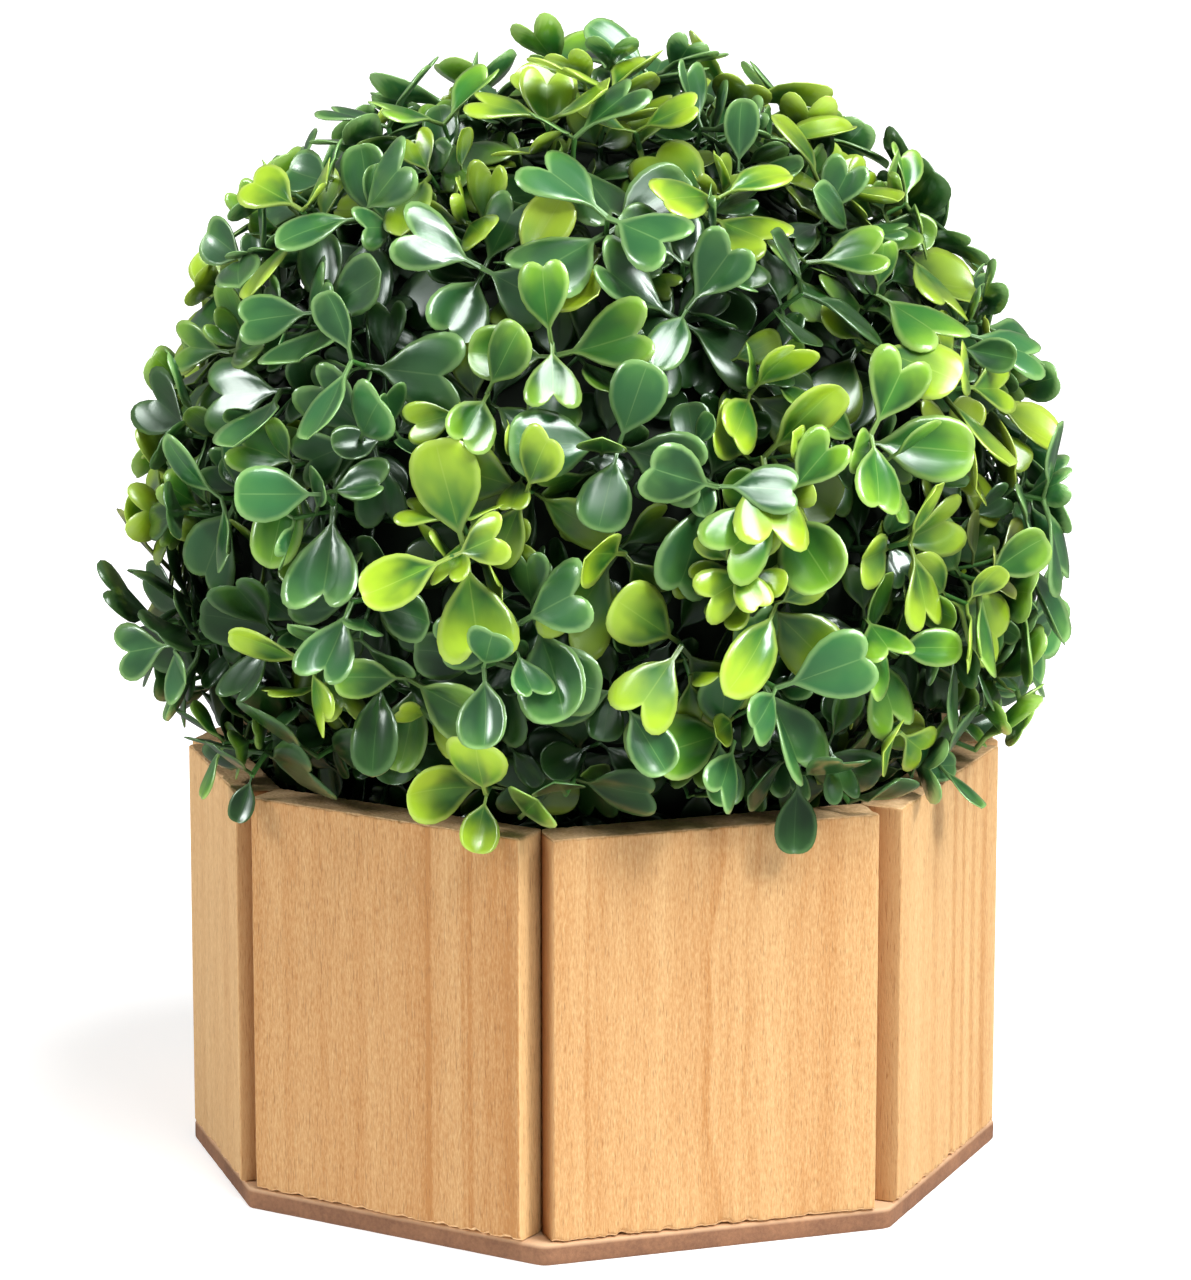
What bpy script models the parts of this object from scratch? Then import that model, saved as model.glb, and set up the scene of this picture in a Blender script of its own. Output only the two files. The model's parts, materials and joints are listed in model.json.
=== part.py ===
"""Artificial box ball in a wooden planter.

A dense ball of moulded plastic box leaves sits in a low eight-sided planter, which is built of
upright boards on a thin base plate. Metres, +Z up; the origin is in the middle of the planter's
flat underside, and +X passes through one of the planter's corners.
"""

import math
import random

import bmesh
import bpy
from mathutils import Matrix, Vector
from mathutils.bvhtree import BVHTree

OBJECT_NAME = "box_topiary_ball"

# Clearance between neighbouring solids.
GAP = 0.0003

# Planter. The angles are how much of the full turn each board takes, corner to corner; the
# boards are cut to slightly uneven widths, and opposite boards are alike. The plate was cut on
# its own, so that its corners lie up to a degree beside the boards' corners.
BOARD_SPANS_DEG = (33.0, 49.2, 52.3, 45.5) * 2
PLATE_SPANS_DEG = (33.7, 49.5, 51.3, 45.5) * 2
FIRST_CORNER_DEG = -180.0
PLATE_THICKNESS = 0.005
RIM_HEIGHT = 0.097
SEAM_RADIUS = 0.0865
GROOVE_DEPTH = 0.0088
MITRE_DEPTH = 0.0021
BOARD_THICKNESS = GROOVE_DEPTH + MITRE_DEPTH
BOARD_ARRIS = 0.0004
PLATE_INSET = 0.0005
PLATE_CORNER_RADIUS = 0.004
PLATE_ARRIS = 0.0007

# Plug of foam inside the planter, and the stem that stands in it.
FILLING_TOP = 0.048
STEM_FOOT_RADIUS = 0.010
STEM_TOP_RADIUS = 0.0075
STEM_SIDES = 16

# Ball of foliage: a hidden core, sprigs that stand out of it, and pairs of leaves along them.
BALL_CENTRE_HEIGHT = 0.1505
CORE_RADIUS = 0.086
CORE_FLOOR = 0.072
SPRIG_COUNT = 116
SPRIG_SEED = 11
LOWEST_SPRIG_DEG = 136.0
SPRIG_SINK = 0.006
BALL_REACH = 0.1165
SPRIG_TIP_RADIUS = 0.103
SPRIG_TIP_SPREAD = 0.004
SPRIG_LEAN_DEG = 22.0
TWIG_FOOT_RADIUS = 0.0018
TWIG_TIP_RADIUS = 0.0013
TWIG_SIDES = 3

# Leaf: a blunt spoon outline with a shallow fold, drawn from its root to its tip.
LEAF_LENGTH = 0.0250
LEAF_LENGTH_SPREAD = 0.0025
LEAF_SHRINK = 0.35
LEAF_WIDTH_SHARE = 0.68
LEAF_WIDEST_SHARE = 0.62
LEAF_RIDGE_SHARE = 0.55
LEAF_TIP_SHARE = 0.5
LEAF_FOLD_SHARE = 0.06
LEAF_THICKNESS = 0.0009
LEAF_ROOT_SINK = 0.0003
PAIR_PLACES = (0.52, 0.93)
PAIR_OPENING_DEG = (78.0, 62.0)
OPENING_SPREAD_DEG = 14.0
SIDE_SPREAD_DEG = 26.0
LEAF_TRIES = 40
CLEARANCE = 0.0008
EDGE_SAMPLES = 8

# Colours as linear RGB, and roughness.
SOFTWOOD = ((0.62, 0.37, 0.155), 0.75)
HARDBOARD = ((0.35, 0.165, 0.08), 0.85)
FOAM = ((0.045, 0.04, 0.03), 0.95)
STEM_PLASTIC = ((0.03, 0.045, 0.015), 0.6)
LEAF_PLASTIC = ((0.07, 0.22, 0.05), 0.4)


def clear_scene():
    for obj in list(bpy.data.objects):
        bpy.data.objects.remove(obj, do_unlink=True)


def new_collection(name):
    collection = bpy.data.collections.new(name)
    bpy.context.scene.collection.children.link(collection)
    return collection


def make_material(name, finish):
    colour, roughness = finish
    material = bpy.data.materials.new(name)
    material.use_nodes = True
    shader = material.node_tree.nodes["Principled BSDF"]
    shader.inputs["Base Color"].default_value = (*colour, 1.0)
    shader.inputs["Roughness"].default_value = roughness
    shader.inputs["Metallic"].default_value = 0.0
    return material


def object_from_bmesh(name, shape, collection, material=None):
    """A mesh object named `name`, which holds the bmesh and frees it."""
    bmesh.ops.recalc_face_normals(shape, faces=shape.faces)
    mesh = bpy.data.meshes.new(name)
    shape.to_mesh(mesh)
    shape.free()
    obj = bpy.data.objects.new(name, mesh)
    collection.objects.link(obj)
    if material:
        mesh.materials.append(material)
    return obj


def add_bevel(obj, width, segments, angle_deg=30.0):
    bevel = obj.modifiers.new("Bevel", "BEVEL")
    bevel.width = width
    bevel.segments = segments
    bevel.limit_method = "ANGLE"
    bevel.angle_limit = math.radians(angle_deg)


# Plan of the planter.


def side_plan(spans_deg):
    """For each side of an outline with these spans: the way that it faces, and its half angle."""
    corner, plan = math.radians(FIRST_CORNER_DEG), []
    for span in spans_deg:
        half = math.radians(span) / 2
        plan.append((corner + half, half))
        corner += 2 * half
    return plan


def board_plan():
    """For each board: the direction that it faces, and the half angle that it takes."""
    return side_plan(BOARD_SPANS_DEG)


def outer_distance(half):
    """From the middle of the planter to a board's outer face."""
    return SEAM_RADIUS * math.cos(half) + GROOVE_DEPTH


def inner_distance(half):
    """From the middle of the planter to a board's inner face."""
    return outer_distance(half) - BOARD_THICKNESS


def polygon(plan, distance_of, offset):
    """Corners of the eight-sided outline whose sides lie `offset` outside distance_of(half)."""
    corners = []
    for index, (facing, half) in enumerate(plan):
        before, half_before = plan[index - 1]
        far, near = distance_of(half) + offset, distance_of(half_before) + offset
        turn = math.sin(facing - before)
        x = (near * math.sin(facing) - far * math.sin(before)) / turn
        y = (far * math.cos(before) - near * math.cos(facing)) / turn
        corners.append((x, y))
    return corners


def prism(name, corners, bottom, top, collection, material):
    """An upright prism on the outline `corners`, made from a filled 2D curve."""
    curve = bpy.data.curves.new(name, "CURVE")
    curve.dimensions = "2D"
    curve.fill_mode = "BOTH"
    curve.extrude = (top - bottom) / 2
    spline = curve.splines.new("POLY")
    spline.points.add(len(corners) - 1)
    for point, (x, y) in zip(spline.points, corners):
        point.co = (x, y, 0.0, 1.0)
    spline.use_cyclic_u = True
    drawn = bpy.data.objects.new(name + "_outline", curve)
    collection.objects.link(drawn)
    graph = bpy.context.evaluated_depsgraph_get()
    mesh = bpy.data.meshes.new_from_object(drawn.evaluated_get(graph))
    bpy.data.objects.remove(drawn, do_unlink=True)
    shape = bmesh.new()
    shape.from_mesh(mesh)
    bmesh.ops.remove_doubles(shape, verts=shape.verts, dist=0.00001)
    bmesh.ops.dissolve_limit(shape, angle_limit=0.01, verts=shape.verts, edges=shape.edges)
    bmesh.ops.translate(shape, verts=shape.verts, vec=(0.0, 0.0, (top + bottom) / 2))
    return object_from_bmesh(name, shape, collection, material)


def make_base_plate(collection):
    """Eight-sided hardboard plate with rounded corners, almost flush with the boards."""
    material = make_material("hardboard", HARDBOARD)
    corners = polygon(side_plan(PLATE_SPANS_DEG), outer_distance, -PLATE_INSET)
    plate = prism("base_plate", corners, 0.0, PLATE_THICKNESS, collection, material)
    shape = bmesh.new()
    shape.from_mesh(plate.data)
    upright = [
        edge for edge in shape.edges
        if abs(edge.verts[0].co.z - edge.verts[1].co.z) > PLATE_THICKNESS / 2
    ]
    bmesh.ops.bevel(
        shape, geom=upright, offset=PLATE_CORNER_RADIUS * math.tan(math.pi / 8),
        offset_type="OFFSET", segments=4, profile=0.5, affect="EDGES",
    )
    shape.to_mesh(plate.data)
    shape.free()
    add_bevel(plate, PLATE_ARRIS, 1, 60.0)
    return plate


def make_board(number, facing, half, material, collection):
    """One upright board: square ends, mitred only in their inner quarter, where neighbours meet."""
    width = 2 * SEAM_RADIUS * math.sin(half)
    height = RIM_HEIGHT - PLATE_THICKNESS - GAP
    shape = bmesh.new()
    bmesh.ops.create_cube(shape, size=1.0)
    bmesh.ops.scale(shape, verts=shape.verts, vec=(BOARD_THICKNESS, width, height))
    middle = (outer_distance(half) + inner_distance(half)) / 2
    bmesh.ops.translate(shape, verts=shape.verts, vec=(middle, 0.0, RIM_HEIGHT - height / 2))
    for side in (-1, 1):
        outward = Vector((-math.sin(half), side * math.cos(half), 0.0))
        cut = bmesh.ops.bisect_plane(
            shape, geom=shape.verts[:] + shape.edges[:] + shape.faces[:],
            plane_co=-outward * GAP / 2, plane_no=outward, clear_outer=True,
        )
        rim = [item for item in cut["geom_cut"] if isinstance(item, bmesh.types.BMEdge)]
        bmesh.ops.holes_fill(shape, edges=rim)
    board = object_from_bmesh("board_%d" % number, shape, collection, material)
    board.rotation_euler = (0.0, 0.0, facing)
    add_bevel(board, BOARD_ARRIS, 1, 40.0)
    return board


def make_boards(collection):
    material = make_material("softwood", SOFTWOOD)
    for number, (facing, half) in enumerate(board_plan(), 1):
        make_board(number, facing, half, material, collection)


def make_filling(collection):
    """Foam plug that fills the planter's lower half and holds the stem."""
    material = make_material("foam", FOAM)
    corners = polygon(board_plan(), inner_distance, -GAP)
    bottom = PLATE_THICKNESS + GAP
    return prism("pot_filling", corners, bottom, FILLING_TOP, collection, material)


def make_stem(collection):
    """Short tapering stem between the filling and the ball."""
    bottom, top = FILLING_TOP + GAP, CORE_FLOOR - GAP
    shape = bmesh.new()
    bmesh.ops.create_cone(
        shape, cap_ends=True, segments=STEM_SIDES, radius1=STEM_FOOT_RADIUS,
        radius2=STEM_TOP_RADIUS, depth=top - bottom,
        matrix=Matrix.Translation((0.0, 0.0, (top + bottom) / 2)),
    )
    material = make_material("stem_plastic", STEM_PLASTIC)
    stem = object_from_bmesh("stem", shape, collection, material)
    stem.data.shade_smooth()
    stem.data.set_sharp_from_angle(angle=math.radians(40.0))
    return stem


# Foliage.


def in_planter(point):
    """Whether a point is in a board, the filling or the stem, or closer to them than CLEARANCE."""
    if point.z < FILLING_TOP + CLEARANCE:
        return True
    if point.z < CORE_FLOOR and math.hypot(point.x, point.y) < STEM_FOOT_RADIUS + CLEARANCE:
        return True
    if point.z > RIM_HEIGHT + CLEARANCE:
        return False
    outside, past_inner = -1.0, -1.0
    for facing, half in board_plan():
        reach = point.x * math.cos(facing) + point.y * math.sin(facing)
        outside = max(outside, reach - outer_distance(half))
        past_inner = max(past_inner, reach - inner_distance(half))
    return outside < CLEARANCE and past_inner > -CLEARANCE


def clears_planter(points, edges, middle):
    """Whether a solid stays out of the planter, tested on lines from its edges to its middle."""
    if min(point.z for point in points) > RIM_HEIGHT + CLEARANCE:
        return True
    steps = [step / EDGE_SAMPLES for step in range(EDGE_SAMPLES + 1)]
    for start, end in edges:
        for along in steps:
            place = points[start].lerp(points[end], along)
            if any(in_planter(place.lerp(middle, inward)) for inward in steps):
                return False
    return True


def across(axis):
    """A unit vector square to `axis`."""
    other = Vector((0.0, 0.0, 1.0)) if abs(axis.z) < 0.8 else Vector((1.0, 0.0, 0.0))
    return axis.cross(other).normalized()


def turned(vector, axis, degrees):
    return Matrix.Rotation(math.radians(degrees), 3, axis) @ vector


def sprig_directions(rng):
    """Directions spread evenly over the ball, from its top down to LOWEST_SPRIG_DEG."""
    golden = math.pi * (3 - math.sqrt(5))
    lowest = math.cos(math.radians(LOWEST_SPRIG_DEG))
    for index in range(SPRIG_COUNT):
        height = 1 - (1 - lowest) * (index + 0.5) / SPRIG_COUNT
        turn = index * golden + rng.uniform(-0.08, 0.08)
        flat = math.sqrt(1 - height * height)
        yield Vector((flat * math.cos(turn), flat * math.sin(turn), height))


def leaf_points(root, along, face, length):
    """Corners of a folded leaf: root, left, left tip, right tip, right, upper and lower middle."""
    side = along.cross(face).normalized()
    shoulder = length * LEAF_WIDTH_SHARE / 2
    lift = face * length * LEAF_FOLD_SHARE
    widest = root + along * length * LEAF_WIDEST_SHARE + lift
    tip = root + along * length
    middle = root + along * length * LEAF_RIDGE_SHARE
    return [
        root,
        widest - side * shoulder,
        tip - side * shoulder * LEAF_TIP_SHARE,
        tip + side * shoulder * LEAF_TIP_SHARE,
        widest + side * shoulder,
        middle + face * LEAF_THICKNESS / 2,
        middle - face * LEAF_THICKNESS / 2,
    ]


LEAF_RING = ((0, 1), (1, 2), (2, 3), (3, 4), (4, 0))
LEAF_FACES = [face for a, b in LEAF_RING for face in ((a, b, 5), (b, a, 6))]


def make_leaf(name, points, collection):
    """Leaf solid of ten faces: five above the outline and five below it."""
    shape = bmesh.new()
    corners = [shape.verts.new(point) for point in points]
    for face in LEAF_FACES:
        shape.faces.new([corners[corner] for corner in face])
    object_from_bmesh(name, shape, collection)


def make_twig(name, foot, tip, collection):
    axis = tip - foot
    turn = axis.to_track_quat("Z", "Y").to_matrix().to_4x4()
    shape = bmesh.new()
    bmesh.ops.create_cone(
        shape, cap_ends=True, segments=TWIG_SIDES, radius1=TWIG_FOOT_RADIUS,
        radius2=TWIG_TIP_RADIUS, depth=axis.length,
        matrix=Matrix.Translation((foot + tip) / 2) @ turn,
    )
    object_from_bmesh(name, shape, collection)


def twig_tree(foot, tip):
    """Search tree of a thin blade along a twig, for keeping other sprigs' leaves off it."""
    side = across(tip - foot) * TWIG_FOOT_RADIUS
    return BVHTree.FromPolygons([foot - side, foot + side, tip], [(0, 1, 2)])


def fits(points, taken, own):
    """Whether a leaf keeps in the ball's shell and off the planter, other leaves and twigs."""
    centre = Vector((0.0, 0.0, BALL_CENTRE_HEIGHT))
    radii = [(point - centre).length for point in points[1:]]
    if min(radii) < CORE_RADIUS + CLEARANCE or max(radii) > BALL_REACH:
        return False
    if not clears_planter(points, LEAF_RING, points[6]):
        return False
    tree = BVHTree.FromPolygons(points, LEAF_FACES)
    for owner, middle, other in taken:
        near = (middle - points[5]).length < 2 * LEAF_LENGTH
        if near and owner not in own and tree.overlap(other):
            return False
    taken.append((own[-1], points[5], tree))
    return True


def sprig_lines(rng):
    """Foot and tip of each twig, with the twigs that would meet the planter left out."""
    centre = Vector((0.0, 0.0, BALL_CENTRE_HEIGHT))
    lines = []
    for direction in sprig_directions(rng):
        lean_axis = turned(across(direction), direction, rng.uniform(0.0, 360.0))
        heading = turned(direction, lean_axis, rng.uniform(0.0, SPRIG_LEAN_DEG))
        foot = centre + direction * (CORE_RADIUS - SPRIG_SINK)
        reach = SPRIG_TIP_RADIUS + rng.uniform(-SPRIG_TIP_SPREAD, SPRIG_TIP_SPREAD)
        tip = foot + heading * (reach - CORE_RADIUS + SPRIG_SINK)
        if clears_planter([foot, tip], [(0, 1)], foot):
            lines.append((foot, tip))
    return lines


def grow_leaf(node, heading, side, opening, own, taken, rng):
    """Corners of a leaf at `node`, turned and shortened a little until it fits, or None."""
    for attempt in range(LEAF_TRIES):
        effort = attempt / LEAF_TRIES
        swing = SIDE_SPREAD_DEG * effort
        outward = turned(side, heading, rng.uniform(-swing, swing))
        hinge = heading.cross(outward).normalized()
        angle = opening + rng.uniform(-OPENING_SPREAD_DEG, OPENING_SPREAD_DEG)
        along = turned(heading, hinge, angle)
        face = along.cross(hinge).normalized()
        length = LEAF_LENGTH + rng.uniform(-LEAF_LENGTH_SPREAD, LEAF_LENGTH_SPREAD)
        length *= 1 - LEAF_SHRINK * effort
        points = leaf_points(node - along * LEAF_ROOT_SINK, along, face, length)
        if fits(points, taken, own):
            return points
    return None


def make_sprigs(collection):
    """Twigs that stand out of the core, each with two crossed pairs of leaves."""
    rng = random.Random(SPRIG_SEED)
    lines = sprig_lines(rng)
    taken = []
    for number, (foot, tip) in enumerate(lines):
        taken.append((("twig", number), (foot + tip) / 2, twig_tree(foot, tip)))
    for number, (foot, tip) in enumerate(lines):
        make_twig("twig_%03d" % number, foot, tip, collection)
        heading = (tip - foot).normalized()
        first_side = turned(across(heading), heading, rng.uniform(0.0, 360.0))
        for pair, (place, opening) in enumerate(zip(PAIR_PLACES, PAIR_OPENING_DEG)):
            own = (("twig", number), ("pair", number, pair))
            pair_side = turned(first_side, heading, 90.0 * pair)
            for label, side in (("a", pair_side), ("b", -pair_side)):
                node = foot.lerp(tip, place)
                points = grow_leaf(node, heading, side, opening, own, taken, rng)
                if points:
                    make_leaf("leaf_%03d_%d%s" % (number, pair, label), points, collection)


def make_core(collection, material):
    """Ball-shaped core with a flat floor, which the stem meets."""
    shape = bmesh.new()
    bmesh.ops.create_icosphere(
        shape, subdivisions=3, radius=CORE_RADIUS,
        matrix=Matrix.Translation((0.0, 0.0, BALL_CENTRE_HEIGHT)),
    )
    cut = bmesh.ops.bisect_plane(
        shape, geom=shape.verts[:] + shape.edges[:] + shape.faces[:],
        plane_co=(0.0, 0.0, CORE_FLOOR), plane_no=(0.0, 0.0, -1.0), clear_outer=True,
    )
    rim = [item for item in cut["geom_cut"] if isinstance(item, bmesh.types.BMEdge)]
    bmesh.ops.holes_fill(shape, edges=rim)
    return object_from_bmesh("foliage_ball", shape, collection, material)


def apply_modifiers(obj):
    graph = bpy.context.evaluated_depsgraph_get()
    mesh = bpy.data.meshes.new_from_object(obj.evaluated_get(graph))
    obj.modifiers.clear()
    obj.data = mesh


def make_foliage(collection):
    """The clipped ball: one solid of the core, its twigs and their leaves."""
    material = make_material("leaf_plastic", LEAF_PLASTIC)
    ball = make_core(collection, material)
    sprigs = new_collection("sprigs")
    make_sprigs(sprigs)
    join = ball.modifiers.new("Join sprigs", "BOOLEAN")
    join.operation = "UNION"
    join.solver = "MANIFOLD"
    join.operand_type = "COLLECTION"
    join.collection = sprigs
    apply_modifiers(ball)
    for obj in list(sprigs.objects):
        bpy.data.objects.remove(obj, do_unlink=True)
    bpy.data.collections.remove(sprigs)
    return ball


def main():
    clear_scene()
    collection = new_collection(OBJECT_NAME)
    make_base_plate(collection)
    make_boards(collection)
    make_filling(collection)
    make_stem(collection)
    make_foliage(collection)


main()
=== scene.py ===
"""Looks of the artificial box ball in its wooden planter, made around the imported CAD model.

Metres, +Z up, in the model's own frame. Boards, base plate, stem and foliage are finer meshes
that stand for their CAD nodes; the foam filling keeps its CAD shape. Run as a script.
"""

import json
import math
import random
from collections import namedtuple

import bpy
import numpy as np
from bpy.props import FloatProperty, FloatVectorProperty, IntProperty, PointerProperty
from mathutils import Matrix, Vector
from mathutils.bvhtree import BVHTree

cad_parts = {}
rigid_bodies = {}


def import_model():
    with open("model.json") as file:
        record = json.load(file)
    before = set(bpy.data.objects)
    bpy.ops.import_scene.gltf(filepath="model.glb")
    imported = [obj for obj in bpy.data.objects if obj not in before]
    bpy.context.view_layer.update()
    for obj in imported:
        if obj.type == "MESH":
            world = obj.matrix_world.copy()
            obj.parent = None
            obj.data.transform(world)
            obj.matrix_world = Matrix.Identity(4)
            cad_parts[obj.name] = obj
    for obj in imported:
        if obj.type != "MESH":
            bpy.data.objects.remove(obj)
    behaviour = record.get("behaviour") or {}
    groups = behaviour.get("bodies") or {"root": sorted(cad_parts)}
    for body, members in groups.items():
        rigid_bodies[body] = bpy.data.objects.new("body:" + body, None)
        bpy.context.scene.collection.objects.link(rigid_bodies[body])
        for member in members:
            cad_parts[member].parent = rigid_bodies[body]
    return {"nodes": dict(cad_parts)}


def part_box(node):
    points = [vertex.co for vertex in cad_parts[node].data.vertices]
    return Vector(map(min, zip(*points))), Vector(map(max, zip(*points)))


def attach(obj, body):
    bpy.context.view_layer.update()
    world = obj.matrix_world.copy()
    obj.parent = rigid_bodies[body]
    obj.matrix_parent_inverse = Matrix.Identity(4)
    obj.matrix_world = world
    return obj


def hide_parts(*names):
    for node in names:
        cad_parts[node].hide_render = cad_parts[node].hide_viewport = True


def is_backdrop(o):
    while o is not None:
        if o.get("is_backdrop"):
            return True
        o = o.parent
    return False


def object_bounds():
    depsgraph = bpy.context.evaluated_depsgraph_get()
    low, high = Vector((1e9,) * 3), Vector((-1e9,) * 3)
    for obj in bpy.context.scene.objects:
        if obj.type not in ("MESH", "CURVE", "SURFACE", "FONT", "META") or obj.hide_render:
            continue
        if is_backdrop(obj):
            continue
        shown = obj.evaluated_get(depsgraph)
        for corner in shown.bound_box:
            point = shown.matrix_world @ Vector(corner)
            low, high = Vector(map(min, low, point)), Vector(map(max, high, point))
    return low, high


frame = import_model()
CAD_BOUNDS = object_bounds()

bl_info = {
    "name": "Box topiary ball",
    "version": (1, 0, 0),
    "blender": (4, 5, 0),
    "location": "View3D > Sidebar > Box ball",
    "description": "Finishes an artificial box ball in a planter of upright boards",
    "category": "Object",
}

MM = 0.001
WHITE = (1.0, 1.0, 1.0, 1.0)

# Plan of the planter, as in the part's source.
BOARD_SPANS_DEG = (33.0, 49.2, 52.3, 45.5) * 2
PLATE_SPANS_DEG = (33.7, 49.5, 51.3, 45.5) * 2
FIRST_CORNER_DEG = -180.0
GAP = 0.3 * MM
SEAM_RADIUS = 86.5 * MM
GROOVE_DEPTH = 8.8 * MM
BOARD_THICKNESS = 10.9 * MM
PLATE_INSET = 0.5 * MM
PLATE_CORNER_RADIUS = 4.0 * MM
CORNER_STEPS = 6
OUTLINE_STEP = 1.3 * MM
# How rough the plate's sawn edge is, in millimetres, and which rings of its profile have it.
SAWN_ROUGHNESS = 0.14
SAWN_RINGS = range(1, 7)

# Heights from the frame.
PLATE_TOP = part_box("base_plate")[1].z
BOARD_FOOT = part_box("board_1")[0].z
RIM_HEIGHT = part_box("board_1")[1].z
FILLING_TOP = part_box("pot_filling")[1].z
STEM_FOOT, STEM_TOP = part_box("stem")[0].z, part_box("stem")[1].z
STEM_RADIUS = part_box("stem")[1].x
STEM_TOP_RADIUS = 7.5 * MM
STEM_GROOVE, STEM_KNOB = 0.5 * MM, 0.25 * MM

# Rule of the foliage, as in the part's source.
BALL_CENTRE = Vector((0.0, 0.0, 150.5 * MM))
CORE_RADIUS = 86.0 * MM
CORE_CUT = 72.0 * MM
BALL_REACH = 116.5 * MM
SPRIG_SINK = 6.0 * MM


def linear(code):
    """Linear RGBA of an sRGB colour written as #rrggbb."""
    shares = [int(code[place:place + 2], 16) / 255 for place in (1, 3, 5)]
    return [s / 12.92 if s <= 0.04045 else ((s + 0.055) / 1.055) ** 2.4 for s in shares] + [1.0]


def colour(name, code, description):
    """A colour property whose default is the sRGB colour `code`."""
    return FloatVectorProperty(
        name=name, description=description, subtype="COLOR", size=4, min=0, max=1,
        default=linear(code),
    )


def size(name, millimetres, description):
    """A length property whose default is given in millimetres."""
    return FloatProperty(
        name=name, description=description, default=millimetres * MM, min=0, unit="LENGTH",
        precision=5,
    )


def degrees(name, value, description):
    """An angle property whose default is given in degrees."""
    return FloatProperty(
        name=name, description=description, subtype="ANGLE", default=math.radians(value),
    )


def whole(name, number, description):
    """A property that holds a whole number."""
    return IntProperty(name=name, description=description, default=number)


# Settings.


class PlanterSettings(bpy.types.PropertyGroup):
    """Edges, wood and other finishes of the planter, its filling and the stem"""

    seed: whole("Wood seed", 4, "Changes the boards' chips and grain")
    arris: size("Arris", 0.28, "Width of the sanded corner along each board's edges")
    chip_depth: size("Chip depth", 0.8, "Deepest chip in a board's sawn edges")
    saw_fray: size("Saw fray", 0.9, "How far the sawn foot of a board is frayed")
    wood_light: colour("Light wood", "#d9b37d", "Pale bands of the sanded softwood")
    wood_dark: colour("Dark wood", "#b47d42", "Darker bands of the sanded softwood")
    wood_pore: colour("Pores", "#8f5f30", "Short dark dashes along the grain")
    # Painted shade on the board ends deep in the grooves.
    groove_shade: colour("Groove shade", "#8a4a10", "Darkened wood deep in the grooves")
    # The end grain is pale, partly as painted light on the board tops under the foliage.
    end_light: colour("End grain", "#f0cb9a", "Pale part of the sawn ends")
    end_dark: colour("Dark end grain", "#cfa472", "Dark part of the sawn ends")
    plate_light: colour("Hardboard", "#94694a", "Pale fibres of the base plate")
    plate_dark: colour("Dark hardboard", "#744f38", "Dark fibres of the base plate")
    # Painted highlight along the plate's upper arris.
    plate_arris_highlight: colour("Hardboard arris highlight", "#e2bd95", "Upper arris of the base plate")
    foam: colour("Foam", "#2c241c", "Foam plug that holds the stem")
    stem: colour("Stem", "#2b3a1a", "Moulded stem under the ball")


class FoliageSettings(bpy.types.PropertyGroup):
    """How the ball of leaves grows"""

    seed: whole("Sprig seed", 11, "Changes how the sprigs grow")
    sprigs: whole("Sprigs", 265, "Sprigs pushed into the core")
    lowest: degrees("Lowest sprig", 138, "Angle from the top of the ball")
    tip_radius: size("Tip radius", 102.0, "From the ball's middle to the tips of the sprigs")
    tip_spread: size("Tip spread", 4.0, "How much the sprigs differ in reach")
    inner_sprigs: whole("Inner sprigs", 280, "Short sprigs under them")
    inner_radius: size("Inner radius", 94.0, "From the ball's middle to the inner sprigs' tips")
    lean: degrees("Lean", 26, "Most that a sprig leans from upright on the core")
    leaf_length: size("Leaf length", 24.5, "A large leaf with its stalk")
    twig_radius: size("Twig radius", 0.85, "Radius of a sprig's stem at its foot")


class StageSettings(bpy.types.PropertyGroup):
    """Floor, light and camera"""

    floor: colour("Floor", "#dcdcdc", "Plain pale floor")
    light: FloatProperty(name="Light", description="Strength of the studio light", default=1.0)
    camera_distance: size("Camera distance", 1265.4, "From the camera to the object's middle")
    camera_height: size("Aim height", 121.4, "Height that the camera aims at")
    camera_pitch: degrees("Pitch", 12.15, "How far the camera looks down")
    lens: FloatProperty(name="Lens", description="Focal length in mm", default=152.4)


# Meshes and materials.


def add(tree, kind, inputs=None, **settings):
    """Adds a node. `inputs` gives sockets, by name or number, a value, an output to link from,
    or a node whose first output is linked."""
    node = tree.nodes.new(kind)
    for name, value in settings.items():
        setattr(node, name, value)
    for socket, value in (inputs or {}).items():
        if isinstance(value, bpy.types.Node):
            value = value.outputs[0]
        if isinstance(value, bpy.types.NodeSocket):
            tree.links.new(value, node.inputs[socket])
        else:
            node.inputs[socket].default_value = value
    return node


def new_material(name, **plain):
    """A Principled material; `plain` sets values that are the same all over."""
    material = bpy.data.materials.new(name)
    material.use_nodes = True
    shader = material.node_tree.nodes["Principled BSDF"]
    for socket, value in plain.items():
        shader.inputs[socket.replace("_", " ")].default_value = value
    return material, material.node_tree, shader


def paint(tree, shader, ground, coats=(), relief=None):
    """Colours a shader: `coats`, each a share and a colour, lie over the colour `ground`.
    `relief` is a height for the bump, its strength, and its depth in millimetres."""
    for share, coat in coats:
        mixed = add(tree, "ShaderNodeMix", {0: share, 6: ground, 7: coat}, data_type="RGBA")
        ground = mixed.outputs[2]
    tree.links.new(ground, shader.inputs["Base Color"])
    if relief:
        height, strength, depth = relief
        bump = add(
            tree, "ShaderNodeBump",
            {"Height": height, "Strength": strength, "Distance": depth * MM},
        )
        tree.links.new(bump.outputs[0], shader.inputs["Normal"])


def mottle(tree, place, grains, low, high):
    """Two noises, each with its size in millimetres, detail and roughness. Gives the first one,
    and a tone from 0 to 1 as their sum goes from `low` to `high`."""
    noises = [
        add(
            tree, "ShaderNodeTexNoise",
            {"Vector": place, "Scale": 1 / (grain * MM), "Detail": detail,
             "Roughness": roughness},
        )
        for grain, detail, roughness in grains
    ]
    total = add(tree, "ShaderNodeMath", dict(enumerate(noises)), operation="ADD")
    tone = add(
        tree, "ShaderNodeMapRange", {"Value": total, "From Min": low, "From Max": high},
    )
    return noises[0], tone


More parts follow.
